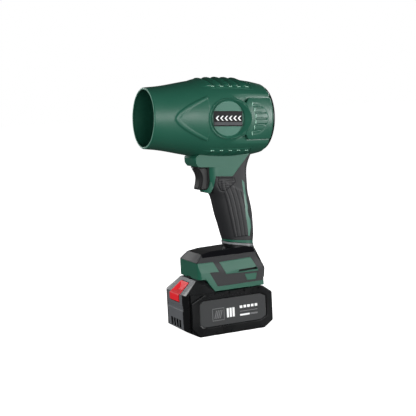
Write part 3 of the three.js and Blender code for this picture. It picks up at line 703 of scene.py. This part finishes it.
def build_mouth_rim():
    """Rounded lip round the mouth, in a lighter green that paints the highlight along its edge."""
    profile = []
    for i in range(12):
        turn = 2 * math.pi * i / 12
        profile.append((0.35 + 0.75 * math.sin(turn), 37.0 + 0.85 * math.cos(turn)))
    finish(turned("mouth_rim", profile, 128, closed=True), "tool", "rim", angle=60)


def pip(side, s, h, length, height, proud, tilt=0.0):
    """A small rounded bar standing on the barrel's surface."""
    radius = float(outline_radius(np.array([s]))[0])
    angle = math.asin(h / radius)
    place = Matrix.Translation((s, 0, 0)) @ Matrix.Rotation(-side * angle, 4, "X")
    place = place @ Matrix.Translation((0, side * (radius + proud), 0))
    place = BARREL @ place @ Matrix.Rotation(math.radians(tilt), 4, "Y")
    low, high = (-length / 2, -0.9, -height / 2), (length / 2, 0.5, height / 2)
    return soften(block("pip", low, high, place), 0.35, 2)


def build_pips():
    """Pale green bars at the rib ends beside the side vent and the louvres: their pale colour paints the
    highlights where the rib ends catch the light.
    """
    for side, word in SIDES:
        bars = []
        for i in range(6):
            h = (i - 2.5) * VENT_PITCH
            s = VENT_START - VENT_BOW * (h / VENT_HALF) ** 2
            lean = side * math.degrees(math.atan(VENT_BOW * 2 * h / VENT_HALF**2))
            bars.append(pip(side, s, h, 1.1, 4.8, 0.75, -side * lean))
        for crest in LOUVRES:
            for h in (40.0, -40.0):
                for shift in (-1.2, 1.2):
                    bars.append(pip(side, crest + 1.0 + shift, h, 1.9, 0.9, 0.3))
        finish(join(f"rib_glint_bars_{word}", bars), "tool", "rib_end")


def printed(name, outlines, face, side, look, body, place=HERE):
    """Flat printed marks, a tenth of a millimetre proud of a face at local y."""
    low, high = sorted((face - side * 0.02, face + side * 0.12))
    parts = [soften(prism("mark", outline, low, high, "y", place), 0.03, 1)
             for outline in outlines]
    finish(join(name, parts), body, look)


def build_badges():
    """Recessed disc and a plain two-tone plate with airflow arrows on each side."""
    left, right = BADGE_AT - 20.2, BADGE_AT + 19.2
    profile = [(0, BADGE_RADIUS - 0.5), (1.0, BADGE_RADIUS), (1.5, BADGE_RADIUS - 0.1),
               (1.9, BADGE_RADIUS - 0.6), (2.0, BADGE_RADIUS - 1.2)]
    arrow = [(0, 0.6), (3.0, -2.4), (5.0, -2.4), (2.0, 0.6), (5.0, 3.6), (3.0, 3.6)]
    starts = [BADGE_AT - 18.0 + i * 6.1 for i in range(6)]
    arrows = [[(start + x, z) for x, z in arrow] for start in starts]
    for side, word in SIDES:
        face = side * BADGE_FACE
        place = BARREL @ Matrix.Translation((BADGE_AT, face - side * 2.0, 0))
        place = place @ Matrix.Rotation(side * math.pi / 2, 4, "Z")
        name = f"badge_disc_{word}"
        finish(turned(name, profile, 96, place), "tool", "green_light", name, angle=40)
        name = f"label_plate_{word}"
        low, high = sorted((face + side * 0.05, face + side * 1.3))
        plate = prism(name, box(left, -9.5, right, 9.5), low, high, "y", BARREL)
        finish(soften(plate, 0.35), "tool", "plate", name)
        low, high = sorted((face + side * 1.1, face + side * 1.5))
        outline = box(left + 0.4, -8.0, right - 0.4, -4.3)
        strip = prism(f"label_strip_{word}", outline, low, high, "y", BARREL)
        finish(soften(strip, 0.12, 2), "tool", "strip")
        printed(f"air_arrows_{word}", arrows, face + side * 1.3, side, "print", "tool", BARREL)


def build_rear_cap():
    """Black intake cap: a rim, three rings, a hub and ribs over the opening."""
    rim = turned(
        "intake_rim",
        [(150, 38.6), (150, 41.0), (161.3, 41.0), (161.45, 42.0), (163.3, 42.3), (164.3, 41.9),
         (164.9, 40.8), (165.0, 38.4), (163.6, 37.5), (160.4, 37.5)],
        128, closed=True,
    )
    finish(rim, "tool", "black", "rear_grille", angle=30)
    for index, (along, radius) in enumerate([(165.4, 30), (166.6, 21.0), (167.2, 13)]):
        ring = turned(
            f"intake_ring_{index + 1}",
            [(along - 2.2, radius - 1.1), (along - 0.4, radius - 1.3), (along, radius - 0.8),
             (along, radius + 0.8), (along - 0.4, radius + 1.3), (along - 2.2, radius + 1.1)],
            closed=True,
        )
        finish(ring, "tool", "black", angle=30)
    hub = turned(
        "intake_hub",
        [(164.6, 8.4), (167.3, 8.6), (168.0, 7.9), (168.3, 6.0), (167.6, 5.2), (167.5, 0.2)],
        64,
    )
    finish(hub, "tool", "black", angle=30)
    outline = [(163.6, 38.2), (166.4, 7.5), (167.9, 7.5), (164.9, 38.2)]
    for index in range(12):
        place = BARREL @ Matrix.Rotation(2 * math.pi * index / 12, 4, "X")
        spoke = prism(f"intake_rib_{index + 1}", outline, -0.9, 0.9, "y", place)
        finish(soften(spoke, 0.5), "tool", "black")


# ---- Fan unit ----


def blades(name, count, at, inner, outer, chord, thick, root_angle, tip_angle, camber=0.0):
    """A ring of thin twisted blades as one mesh."""
    across, along = 10, 8
    vertices, faces = [], []
    for blade in range(count):
        turn = 2 * math.pi * blade / count
        base = len(vertices)
        for face in (1, -1):
            for i in range(across):
                share = i / (across - 1)
                radius = inner + (outer - inner) * share
                angle = math.radians(root_angle + (tip_angle - root_angle) * share)
                for j in range(along):
                    t = j / (along - 1) * 2 - 1
                    x = t * chord / 2
                    y = camber * (1 - t * t) + face * thick / 2 * math.sqrt(max(0.02, 1 - t**4))
                    lx = x * math.cos(angle) - y * math.sin(angle)
                    ly = x * math.sin(angle) + y * math.cos(angle)
                    py = ly * math.cos(turn) - radius * math.sin(turn)
                    pz = ly * math.sin(turn) + radius * math.cos(turn)
                    vertices.append((at + lx, py, pz))
        size = across * along
        faces += grid_faces(across, along, start=base)
        faces += grid_faces(across, along, start=base + size)
        loop = (
            [base + j for j in range(along)]
            + [base + i * along + along - 1 for i in range(1, across)]
            + [base + (across - 1) * along + j for j in range(along - 2, -1, -1)]
            + [base + i * along for i in range(across - 2, 0, -1)]
        )
        for a, b in zip(loop, loop[1:] + loop[:1]):
            faces.append((a, b, b + size, a + size))
    return solid(name, vertices, faces, BARREL)


def build_fan():
    duct = turned(
        "duct_ring",
        [(60, 36.4), (60.2, 44.3), (61, 44.9), (62.4, 44.9), (62.8, 38.4), (64, 37.4),
         (98, 37.3), (101, 38.3), (101, 37.0), (97, 35.6), (64, 35.5)],
        closed=True,
    )
    finish(duct, "tool", "black", "fan_duct", angle=35)
    hub = [(60, 14.6), (59.7, 15.6), (60.2, 16.8), (82, 17), (82, 14.6)]
    finish(turned("motor_hub", hub, 64, closed=True), "tool", "black", angle=35)
    vanes = blades("stator_vanes", 7, 70, 16.6, 35.8, 19, 1.6, 30, 36, camber=1.6)
    finish(vanes, "tool", "black", angle=45, weighted=False)
    rotor = blades("impeller_blades", 9, 90.4, 16.4, 34.8, 18.5, 1.5, -44, -58, camber=1.2)
    finish(rotor, "fan", "black", "impeller", angle=45, weighted=False)
    cup = [(84, 16.2), (84.2, 16.8), (96.2, 17), (96.6, 16.6), (96.6, 2)]
    finish(turned("impeller_hub", cup, 64), "fan", "black", angle=35)
    nose = [(96.8, 16.8)]
    for i in range(1, 11):
        turn = i / 10 * math.pi / 2
        nose.append((96.8 + 10.8 * math.sin(turn), max(0.1, 16.8 * math.cos(turn))))
    finish(turned("spinner_nose", nose, 64), "fan", "black", "spinner", angle=35)
    cone = [(22.0, 0.1)]
    for i in range(1, 15):
        share = i / 14
        cone.append((22 + 27.6 * share, 14.2 * math.sin(share * math.pi / 2) ** 0.8))
    finish(turned("tail_fairing", cone, 64), "tool", "black", "tail_cone", angle=35)


# ---- Handle ----

# Profile of the grip by height: front and rear in x, and half of its width.
GRIP_HEIGHTS = [98, 104, 109, 113, 117, 121, 129, 137, 145, 153, 162, 170, 176, 181, 187, 193,
                201, 209, 217, 224, 232]
GRIP_FRONT = [9.2, 9.2, 9.2, 9.2, 8.4, 7.0, 4.9, 2.9, 0.7, -1.4, -3.1, -4.6, -6.4, -9.0, -11.6,
              -12, -12, -12, -12, -12, -12]
GRIP_REAR = [49.0, 49.0, 49.1, 49.5, 50.2, 50.7, 50.6, 50.5, 50.3, 49.6, 48.1, 46.4, 44.9, 43.8,
             42.7, 41.9, 41.5, 42.2, 44.7, 48.2, 52.0]
GRIP_HALF = [15.9, 15.9, 16.0, 16.2, 16.5, 16.7, 17.0, 17.3, 17.6, 17.8, 18.0, 18.0, 18.0, 18.0,
             18.0, 18.0, 18.0, 18.0, 18.0, 18.0, 18.0]
THUMB_PAD = [(-2.9, 198.9), (-3.7, 190.4), (-0.2, 182.9), (5.6, 181.1), (21.5, 192.2),
             (19.6, 196.9)]
OVERMOULD = [(62, 111.2), (62, 229), (44.5, 228.4), (40.4, 223.5), (18, 199.5), (-5.2, 201.3),
             (-8.3, 186), (-12, 180), (-25, 177), (-25, 121.3)]
INLAY = [(31.0, 194.5), (32.6, 178), (33.6, 160), (34.6, 146), (35.6, 140.6), (36.6, 131),
         (37.6, 119.5), (39.8, 119.5), (41.2, 123.5), (43.0, 131), (42.2, 140), (39.8, 146.5),
         (38.6, 153), (39.4, 158), (37.6, 167), (37.6, 173), (36.0, 182), (34.6, 190)]
TRIGGER_WELL = box(-14.2, 183.2, -1.5, 212.9)
GROOVES = (0.33, 0.45, 0.57, 0.69)  # shares of the way from the front to the rear
GROOVE_DEPTH, GROOVE_WIDTH = 0.6, 0.75
PAD_EDGE_DEPTH = 0.8
RIPPLE_HEIGHT, RIPPLE_PITCH = 0.15, 2.9
COLLAR_LEAN = math.radians(9.5)


def inside_outline(x, z, outline):
    """Signed distance to a convex or concave outline: positive inside."""
    best = np.full(x.shape, 1e9)
    inside = np.zeros(x.shape, bool)
    count = len(outline)
    for i in range(count):
        (x0, z0), (x1, z1) = outline[i], outline[(i + 1) % count]
        away, _ = distance_to_line(x, z, (x0, z0), (x1, z1))
        best = np.minimum(best, away)
        crosses = (z0 > z) != (z1 > z)
        slope = (x1 - x0) * (z - z0) / np.where(z1 == z0, 1e-9, z1 - z0) + x0
        inside ^= crosses & (x < slope)
    return np.where(inside, best, -best)


def grip_relief(x, y, z, front, rear):
    """Grooves, side panel and thumb pad on the grip, as an outward distance."""
    depth = rear - front
    share = (x - front) / depth
    side = step(np.abs(y), 6, 12)
    panel = side * step(share, 0.24, 0.27) * (1 - step(share, 0.80, 0.83))
    panel *= step(z, 119.5, 121) * (1 - step(z + 0.6 * x, 196, 199))
    relief = 0.8 * panel
    for place in GROOVES:
        relief -= GROOVE_DEPTH * ridge((share - place) * depth, GROOVE_WIDTH) * panel
    pad = inside_outline(x, z, THUMB_PAD)
    relief -= PAD_EDGE_DEPTH * ridge(pad, 0.7) * side
    ripple = RIPPLE_HEIGHT * np.sin(2 * math.pi * z / RIPPLE_PITCH)
    return relief + ripple * step(pad, 0, 0.8) * side


def grip_body(name, grow=0.0, relief=False, low=98.0, high=232.0):
    """The grip's full-length solid, grown by a distance."""
    rows, columns = 280, 240
    heights = np.linspace(low, high, rows)
    turn = np.linspace(0, 2 * math.pi, columns, endpoint=False)
    z, turn = np.meshgrid(heights, turn, indexing="ij")
    front = smooth_table(z, GRIP_HEIGHTS, GRIP_FRONT)
    rear = smooth_table(z, GRIP_HEIGHTS, GRIP_REAR)
    half = smooth_table(z, GRIP_HEIGHTS, GRIP_HALF)
    cosine, sine = np.cos(turn), np.sin(turn)
    power = 2.5 + 2.2 * step(z, 172, 198)
    spread = 1 / (np.abs(cosine) ** power + np.abs(sine) ** power) ** (1 / power)
    x = (front + rear) / 2 + cosine * spread * ((rear - front) / 2 + grow)
    y = sine * spread * (half + grow)
    if relief:
        out = grip_relief(x, y, z, front, rear)
        x, y = x + out * cosine, y + out * sine
    vertices = np.stack([x, y, z], axis=-1).reshape(-1, 3)
    return solid(name, vertices, tube_faces(rows, columns))


def halves(body, name):
    """The left and right halves of a body, a seam apart, each with its side's word."""
    far = 400
    for side, word in SIDES:
        half = duplicate(body, f"{name}_{word}")
        low, high = span(side, SEAM, far)
        yield trim(half, block("half_space", (-far, low, -far), (far, high, far))), word
    bpy.data.objects.remove(body)


def barrel_core():
    profile = [(-5, 37), (40, 43), (64, 47), (90, 49.6), (130, 48), (166, 42)]
    return turned("barrel_core", profile, 64)


def overmould_room():
    return prism("overmould_room", offset(OVERMOULD, 0.3))


def tilted_slab(low, high):
    """A slab square to the grip's root, between two distances from the collar's middle."""
    collar_low, collar_high = box_mm("grip_collar")
    middle = (collar_low + collar_high) / 2
    lean = Matrix.Translation(middle) @ Matrix.Rotation(COLLAR_LEAN, 4, "Y")
    return block("slab", (-FAR, -FAR, low), (FAR, FAR, high), lean)


def build_handle():
    core = grip_body("handle_shell")
    cut(core, overmould_room(), barrel_core(), prism("well", TRIGGER_WELL, -10.7, 10.7),
        block("stem_way", (-6, -4.8, 195.2), (36, 4.8, 202.8)), tilted_slab(-40, 2.3))
    finish(core, "tool", "green", angle=38)

    skin = grip_body("grip_overmould", relief=True)
    trim(skin, prism("overmould", OVERMOULD))
    cut(skin, prism("inlay_room", offset(INLAY[::-1], 0.12)), barrel_core(),
        block("trigger_way", (-20, -9.9, 184.2), (-5.2, 9.9, 213)), tilted_slab(-40, 4.3))
    for half, word in halves(skin, "grip_overmould"):
        finish(half, "tool", "rubber", f"grip_overmould_{word}", angle=38)

    inlay = trim(grip_body("grip_inlay", grow=0.25), prism("inlay", INLAY))
    finish(inlay, "tool", "green_light", slot="shell_green", angle=38)

    ring = trim(grip_body("grip_ring", grow=-0.2, high=150), tilted_slab(2.5, 4.0))
    finish(ring, "tool", "green", angle=38)
    collar = trim(grip_body("grip_collar", grow=0.8, high=150), tilted_slab(-0.8, 1.8))
    finish(soften(collar, 0.5, 2, angle=50), "tool", "silver", "grip_collar", angle=38)
    root = trim(grip_body("grip_root", grow=0.4, high=150), tilted_slab(-12, 2.5))
    finish(root, "tool", "black", angle=38)


def build_block():
    """Green block that joins the barrel to the grip, in two halves, with the trigger's well."""
    outline = [(-23.6, 246), (-24.6, 238), (-27.0, 231.8), (-34.4, 226.0), (-32.2, 219.2),
               (-29.2, 215.2), (-10, 213.4), (42, 212.0), (46, 246)]
    plan = [(-34.6, 0)] + mirrored([(-33.8, -15.8), (-32.6, -18.1), (FAR, -18.1)])
    body = prism("trigger_block", outline, -18.1, 18.1)
    trim(body, prism("plan", plan, 200, 260, "z"))
    cut(body, overmould_room(), barrel_core())
    for half, _ in halves(body, "trigger_block"):
        finish(soften(half, 1.0), "tool", "green")

    outline = [(-19.2, 183.2), (-18.0, 181.5), (-15.2, 180.2), (-11.5, 178.8), (-6, 177.4),
               (-2, 177.4), (-2, 194), (-11.9, 194), (-12.6, 190.4), (-13.8, 187.4),
               (-15.6, 185.2), (-17.4, 184.1)]
    plan = [(-20, 0)] + mirrored([(-19.2, -4.6), (-17.6, -8.4), (-14.8, -11.4), (-11, -13.4),
                                  (-6, -14.6), (0, -14.6)])
    ledge = prism("trigger_ledge", outline, -14.6, 14.6)
    trim(ledge, prism("plan", plan, 170, 200, "z"))
    cut(ledge, block("well", (-40, -10.3, 184.4), (0, 10.3, 200)), overmould_room())
    finish(soften(ledge, 0.7, 3, angle=30), "tool", "green", angle=45)

    outline = [(-27.5, 212.7), (-13.6, 212.7), (-13.6, 184), (-1.6, 184), (-1.6, 216.4),
               (-27.5, 216.4)]
    lining = prism("trigger_well", outline, -10.6, 10.6)
    cut(lining, prism("way", box(-40, 180, -2.4, 212.65), -9.9, 9.9),
        block("stem_way", (-10, -4.6, 195.4), (5, 4.6, 202.6)))
    finish(lining, "tool", "black")


def build_trigger():
    """A finger-shaped shell with a stem that reaches the switch."""
    _, high = box_mm("trigger")
    rows, rear, depth_full = 46, -13.0, 12
    heights = np.linspace(184.9, 212.2, rows)
    front = smooth_table(
        heights,
        [184, 186.2, 191, 196, 200.5, 205, 209, 212.2, 213],
        [-26.4, -26.5, -25.2, -24.0, -23.5, -24.4, -26.4, -28.6, -29.0],
    )
    section = [(0.25, -5.4), (0.3, 0), (0.25, 5.4), (-0.25, 5.9), (-0.25, 6.6), (0.5, 7.2),
               (2.2, 7.9), (2.7, 8.4), (2.9, 9.1), (3.6, 9.5), (11.4, 9.5), (12, 9.2),
               (12, -9.2), (11.4, -9.5), (3.6, -9.5), (2.9, -9.1), (2.7, -8.4), (2.2, -7.9),
               (0.5, -7.2), (-0.25, -6.6), (-0.25, -5.9)]
    vertices = []
    for height, nose in zip(heights, front):
        end_round = 0.9 * max(0, 1 - (height - heights[0]) / 1.2) ** 2
        for depth, y in section:
            share = min(1, depth / depth_full)
            x = nose + depth if depth < 6 else rear - (depth_full - depth)
            vertices.append((x + end_round * (1 - share), y * (1 - 0.04 * end_round), height))
    piece = solid("trigger_shell", vertices, tube_faces(rows, len(section)))
    corner = [(-16.6, 213), (-15.6, 211.6), (-13.4, 209.6), (-11, 208.6), (-11, 213)]
    cut(piece, prism("corner", corner, -20, 20))
    add(piece, block("stem", (-4, -2.6, 196.4), (high.x, 2.6, 201.6)))
    finish(piece, "trigger", "trigger", "trigger", angle=28)


# ---- Foot ----

FOOT_SIDE = [(-43, 72.5), (-33, 72.5), (-21.5, 56), (49, 56), (49, 66.2), (50, 66.2),
             (51.3, 77), (51.3, 105.2), (49.5, 106.2), (10, 107), (-20, 106), (-33.5, 103.5),
             (-43, 94)]
FOOT_SECTION = [(-32.2, 50), (32.2, 50), (31.4, 80.4), (28.2, 92), (24.5, 99.8), (20, 105.8),
                (12, 113), (-12, 113), (-20, 105.8), (-24.5, 99.8), (-28.2, 92), (-31.4, 80.4)]
FOOT_PLAN = mirrored([(-43, -25.2), (-42.4, -27.8), (-40.9, -30.2), (-38.6, -31.8),
                      (-35.6, -32.5), (50.6, -32.5), (51.3, -31.8)])
CORNER = Vector((41, -19, 107))
CORNER_NORMAL = Vector((0.787, -0.405, 0.465)).normalized()
BUMPER = [(62, 62.3), (62, 120), (-50, 120), (-50, 93.8), (-20.5, 93.4), (-14, 80.2),
          (-27.5, 80.9), (-17, 61.8)]
UPPER_WINDOW = [(-12, 92.4), (-4.2, 76.3), (42.7, 75.2), (33.4, 93.7)]
SLOT = [(12.8, 76.9), (41.2, 77.6), (40.4, 80.8), (14.6, 79.9)]
LOWER_WINDOW = [(22.1, 73.5), (25.1, 64.7), (37.6, 64.8), (39.7, 72.9)]
COVER = [(62, 79), (62, 120), (-33.6, 120), (-33.6, 99.6), (41.4, 99.6),
         (43.9, 92), (49.6, 79)]
SKIN = 1.3  # thickness of the bumpers and the cover


def foot_body(name, inset=0.0, rounding=0.0):
    """The foot's faceted solid, with a corner facet on each side of the rear."""
    body = prism(name, offset(FOOT_SIDE, -inset))
    trim(body, prism("section", offset(FOOT_SECTION, -inset), -70, 70, "x"),
         prism("plan", offset(FOOT_PLAN, -inset), 40, 130, "z"))
    for side in (1, -1):
        normal = Vector((CORNER_NORMAL.x, CORNER_NORMAL.y * side, CORNER_NORMAL.z))
        place = Matrix.Translation((CORNER.x, CORNER.y * side, CORNER.z))
        place = place @ normal.to_track_quat("Z", "Y").to_matrix().to_4x4()
        cut(body, block("corner", (-100, -100, -inset), (100, 100, 100), place))
    clean(body)
    return soften(body, rounding) if rounding else body


def grip_hole(grow):
    return grip_body("grip_hole", grow=grow, low=90, high=130)


def open_bay(piece):
    """Clears the room under the foot for the pack's rails and latch."""
    cut(piece, prism("bay", box(-60, 40, 45.3, 70.5), -24, 24))
    for low, high in ((-28.5, -23), (23, 28.5)):
        cut(piece, block("rail_way", (-60, low, 60.2), (45.3, high, 70.5)))
    cut(piece, block("latch_pocket", (-50, -6.2, 70), (-36.5, 6.2, 74.2)))


def cut_windows(piece, margin):
    for window in (UPPER_WINDOW, LOWER_WINDOW):
        cut(piece, prism("window", offset(window, -margin)))
    return piece


def build_foot():
    shell = foot_body("foot_shell", rounding=1.2)
    layer = foot_body("layer", inset=SKIN + 0.1)
    skin_space = cut_windows(prism("skin_space", offset(BUMPER, 0.12)), 0.12)
    add(skin_space, prism("cover_space", offset(COVER, 0.12)))
    cut(shell, cut(skin_space, layer))
    open_bay(shell)
    for side, _ in SIDES:
        cut(shell, prism("slot", offset(SLOT, -0.02), *span(side, 26.5, 40)))
    finish(soften(shell, 0.3, 2, angle=40), "tool", "green")

    bumper = foot_body("bumper", rounding=1.2)
    area = cut_windows(prism("area", BUMPER), -0.12)
    cut(area, prism("cover_space", offset(COVER, 0.15)))
    trim(bumper, area)
    cut(bumper, foot_body("layer", inset=SKIN), grip_hole(0.4),
        block("brow_space", (-60, -23.15, 94.45), (-33.7, 23.15, 120)))
    open_bay(bumper)
    for half, word in halves(bumper, "foot_bumper"):
        finish(soften(half, 0.3, 2, angle=40), "tool", "rubber", f"foot_bumper_{word}")

    brow = foot_body("foot_brow", inset=-0.15, rounding=1.2)
    trim(brow, block("area", (-50, -23.0, 94.6), (-33.75, 23.0, 110)))
    cut(brow, foot_body("layer", inset=1.2))
    finish(soften(brow, 0.3, 2, angle=40), "tool", "brow")

    cover = foot_body("foot_cover", rounding=1.2)
    trim(cover, prism("area", COVER))
    cut(cover, foot_body("layer", inset=SKIN), grip_hole(1.0))
    finish(soften(cover, 0.3, 2, angle=40), "tool", "gloss", "foot_cover")

    # A black bar deep in each slot: painted shade filling the slot's depth
    for side, word in SIDES:
        finish(prism(f"foot_slot_shade_{word}", SLOT, *span(side, 26.6, 27.8)), "tool", "black")


# ---- Battery pack ----

PACK_TOP = 55
PACK_SPLIT = 38  # between the lower and the upper case
PACK_PLAN = mirrored([(-64.8, -24.5), (-62.8, -31.2), (-60.5, -34.1), (-59.3, -31.6),
                      (-57.4, -31.6), (-57.2, -35), (54, -35), (57.5, -31)])
PACK_SIDE = [(-80, -5), (45.2, -5), (45.2, 0), (57.5, 9), (57.5, 46.4), (46.2, 55.2),
             (46.2, 90), (-80, 90)]
LOWER_SIDE = [(-47, 0), (58, 0), (58, 50), (-64.1, 50), (-64.1, 35), (-64.8, 34), (-64.7, 18),
              (-64.2, 9.6), (-62.6, 8.2)]
FRAME_SIDE = [(-47, 0.2), (45, 0.2), (57.5, 9), (57.5, 47), (44.5, 56.5), (-40.5, 53.8),
              (-57.5, 45.5), (-57.5, 11.7)]
PANEL_SIDE = [(-41, 12), (40, 12), (48.2, 16.6), (48.2, 42), (40.2, 46.2), (-41.2, 46.2),
              (-46.5, 42.2), (-46.5, 16)]
SHOULDER = [(-64.8, 53.5), (-64.8, 40), (-18, 40), (-19.6, 52), (-32.9, 71), (-44.5, 71)]
SHOULDER_SECTION = [(-33.5, 30), (33.5, 30), (33.5, 54), (24.5, 71.2), (-24.5, 71.2),
                    (-33.5, 54)]
FRONT_STEP = [(-70, 30), (-64.1, 30), (-64.1, 40.6), (-65.2, 41.8), (-70, 41.8)]
BUTTON_WINDOW = [(-37, 80), (-75, 80), (-75, 55.3), (-65.2, 44.6), (-59, 38.6), (-51, 38.6),
                 (-37, 55.6)]
BUTTON_ROOM = mirrored([(-80, -16.05), (-65, -15.45), (-49, -12.45), (-36, -12.45)])
BUTTON_PLAN = mirrored([(-80, -14.2), (-62.5, -14.2), (-49, -11.7), (-36, -11.7)])
BUTTON_SIDE = [(-49.3, 67.75), (-65.3, 53.9), (-65.6, 53.0), (-65.4, 45.3), (-60.5, 45.3),
               (-49.3, 55.2)]
HOOK_SIDE = [(-49.2, 65.6), (-40, 65.6), (-40, 73.6), (-41.8, 73.6), (-41.8, 67.4),
             (-49.2, 67.4)]
CHARGE_MARKS = (
    [box(x, 21.0, x + 2.9, 33.0) for x in (-8.6, -4.5, -0.4)]
    + [box(x, 30.6, x + 3.7, 34.0) for x in (10.2, 15.6, 21.0, 26.4, 31.8)]
    + [box(10.2, 20.6, 24, 22.8)]
)
FAINT_MARKS = [
    box(-29, 18.6, -12, 19.4), box(-29, 34.0, -12, 34.8), box(-29, 19.8, -28.2, 33.6),
    box(-12.8, 19.8, -12, 33.6), box(25, 20.6, 35.5, 22.8), box(10.2, 26.0, 35.5, 26.9),
] + [
    [(x, 21.6), (x + 1.4, 21.6), (x + 4.4, 32.0), (x + 3.0, 32.0)]
    for x in (-26.6 + i * 2.6 for i in range(4))
]


def duplicate_grown(piece):
    """A copy pushed out along its normals by a seam's width."""
    copy = duplicate(piece, "grown")
    with editing(copy) as shape:
        shape.normal_update()
        for vertex in shape.verts:
            vertex.co += vertex.normal * SEAM * MM
    return copy


def split_fascia(name, body, low, high):
    """Takes a grey skin off the front of a case, leaving the flanks to the black case."""
    skin = duplicate(body, name)
    under = duplicate(body, "under")
    under.data.transform(Matrix.Translation((1.4 * MM, 0, -1.4 * MM)))
    trim(skin, block("area", (-80, -24.3, low), (-30, 24.3, high)))
    cut(skin, under)
    cut(body, duplicate_grown(skin))
    return skin


def thumb_scoop():
    """Hipped hollow in the button's slope, its rim a little inside the button's edge."""
    slope = Matrix.Translation((-65.3, 0, 53.9)) @ Matrix.Rotation(math.radians(-40.9), 4, "Y")
    # height above the slope, start and end along it, half width at each
    levels = [(2.0, 0.2, 22.0, 14.6, 11.6), (0.0, 1.7, 20.2, 13.2, 10.3),
              (-2.9, 8.2, 13.5, 6.5, 5.0)]
    vertices = []
    for height, start, end, near, far in levels:
        vertices += [(start, -near, height), (end, -far, height), (end, far, height),
                     (start, near, height)]
    return solid("scoop", vertices, tube_faces(3, 4), slope)


def build_upper_case():
    upper = prism("pack_upper", PACK_PLAN, PACK_SPLIT + 0.2, PACK_TOP, "z")
    trim(upper, prism("side", PACK_SIDE))
    shoulder = prism("shoulder", SHOULDER, -34, 34)
    trim(shoulder, prism("plan", PACK_PLAN, 30, 90, "z"),
         prism("section", SHOULDER_SECTION, -80, 0, "x"))
    add(upper, shoulder)
    cut(upper, prism("front_step", FRONT_STEP))
    fascia = split_fascia("fascia_upper", upper, PACK_SPLIT, 73)
    window = prism("window", BUTTON_WINDOW, -20, 20)
    trim(window, prism("plan", BUTTON_ROOM, 30, 90, "z"))
    for low, high in ((6.1, 20), (-20, -6.1)):
        cut(window, block("cheek", (-48.4, low, 67.8), (-30, high, 90)))
    cut(window, block("bridge", (-48.4, -20, 67.8), (-43.4, 20, 90)))
    for piece in (upper, fascia):
        cut(piece, duplicate(window, "window_copy"))
    bpy.data.objects.remove(window)
    add(upper, block("rail_web", (-36.8, -23.3, 50), (44.6, 23.3, 66)),
        block("rail_flange", (-36.6, -27.8, 61), (44.4, 27.8, 65.9)))
    cut(upper, block("contact_room", (30, -17, 60.6), (50, 17, 75)))
    for y in (-11, 11):
        cut(upper, block("slot", (20, y - 1.3, 61), (50, y + 1.3, 75)))
    return upper, fascia


def build_lower_case():
    lower = prism("pack_lower", PACK_PLAN, 0, PACK_SPLIT, "z")
    trim(lower, prism("side", LOWER_SIDE), prism("side", PACK_SIDE))
    fascia = split_fascia("fascia_lower", lower, 1.2, PACK_SPLIT)
    for y in (-13, -4.35, 4.35, 13):
        for piece in (lower, fascia):
            cut(piece, block("vent", (-70, y - 3.4, 10.8), (-58, y + 3.4, 21.4)))
    return lower, fascia


def build_battery():
    for build, node in ((build_upper_case, "pack_upper_case"),
                        (build_lower_case, "pack_lower_case")):
        case, fascia = build()
        finish(soften(case, 0.8), "battery", "black", node)
        finish(soften(fascia, 0.5, 2, angle=28), "battery", "grey")

    for side, word in SIDES:
        name = f"side_frame_{word}"
        ring = prism(name, FRAME_SIDE, *span(side, 35.1, 37.6))
        soften(cut(ring, prism("hole", offset(PANEL_SIDE, 0.2))), 1.5)
        near, far = span(side, 36.2, 50)
        for x in (-34, -13, 8, 29):
            cut(ring, block("notch", (x, near, -3), (x + 11, far, 4.2)),
                block("notch", (x - 1, near, 51.6), (x + 10, far, 62)))
        finish(soften(ring, 0.3, 2, angle=40), "battery", "black", name)
        name = f"side_panel_{word}"
        panel = prism(name, PANEL_SIDE, *span(side, 35.1, 36.5))
        finish(soften(panel, 0.5), "battery", "panel", name)
        face = side * 36.5
        printed(f"charge_marks_{word}", CHARGE_MARKS, face, side, "print", "battery")
        printed(f"faint_marks_{word}", FAINT_MARKS, face, side, "faint", "battery")


def build_latch():
    button = prism("latch_button", BUTTON_SIDE, -17, 17)
    trim(button, prism("plan", BUTTON_PLAN, 30, 90, "z"))
    hook = prism("latch_hook", HOOK_SIDE, -5.5, 5.5)
    finish(soften(hook, 0.4, 2), "latch_button", "black")
    cut(button, thumb_scoop())
    finish(soften(button, 0.45), "latch_button", "red", "release_button")


# ---- CAD pieces that stay in view ----


def dress_cad():
    """Materials for the CAD pieces that are kept as they are."""
    look_of = {row[0]: look for look, row in reversed(LOOKS.items())}
    slots = {row["node"]: row["material_slot"] for row in frame["record"]["subparts"]}
    for name, node in frame["nodes"].items():
        wear(node, looks[look_of[slots[name]]])
        node.data.shade_smooth()
        node.data.set_sharp_from_angle(angle=math.radians(32))


add_camera()
looks = {
    look: plastic(name, color, rough, **settings)
    for look, (_, name, color, rough, settings) in LOOKS.items()
}
add_studio()
dress_cad()
build_barrel()
build_mouth_rim()
build_pips()
build_badges()
build_rear_cap()
build_fan()
build_handle()
build_block()
build_trigger()
build_foot()
build_battery()
build_latch()
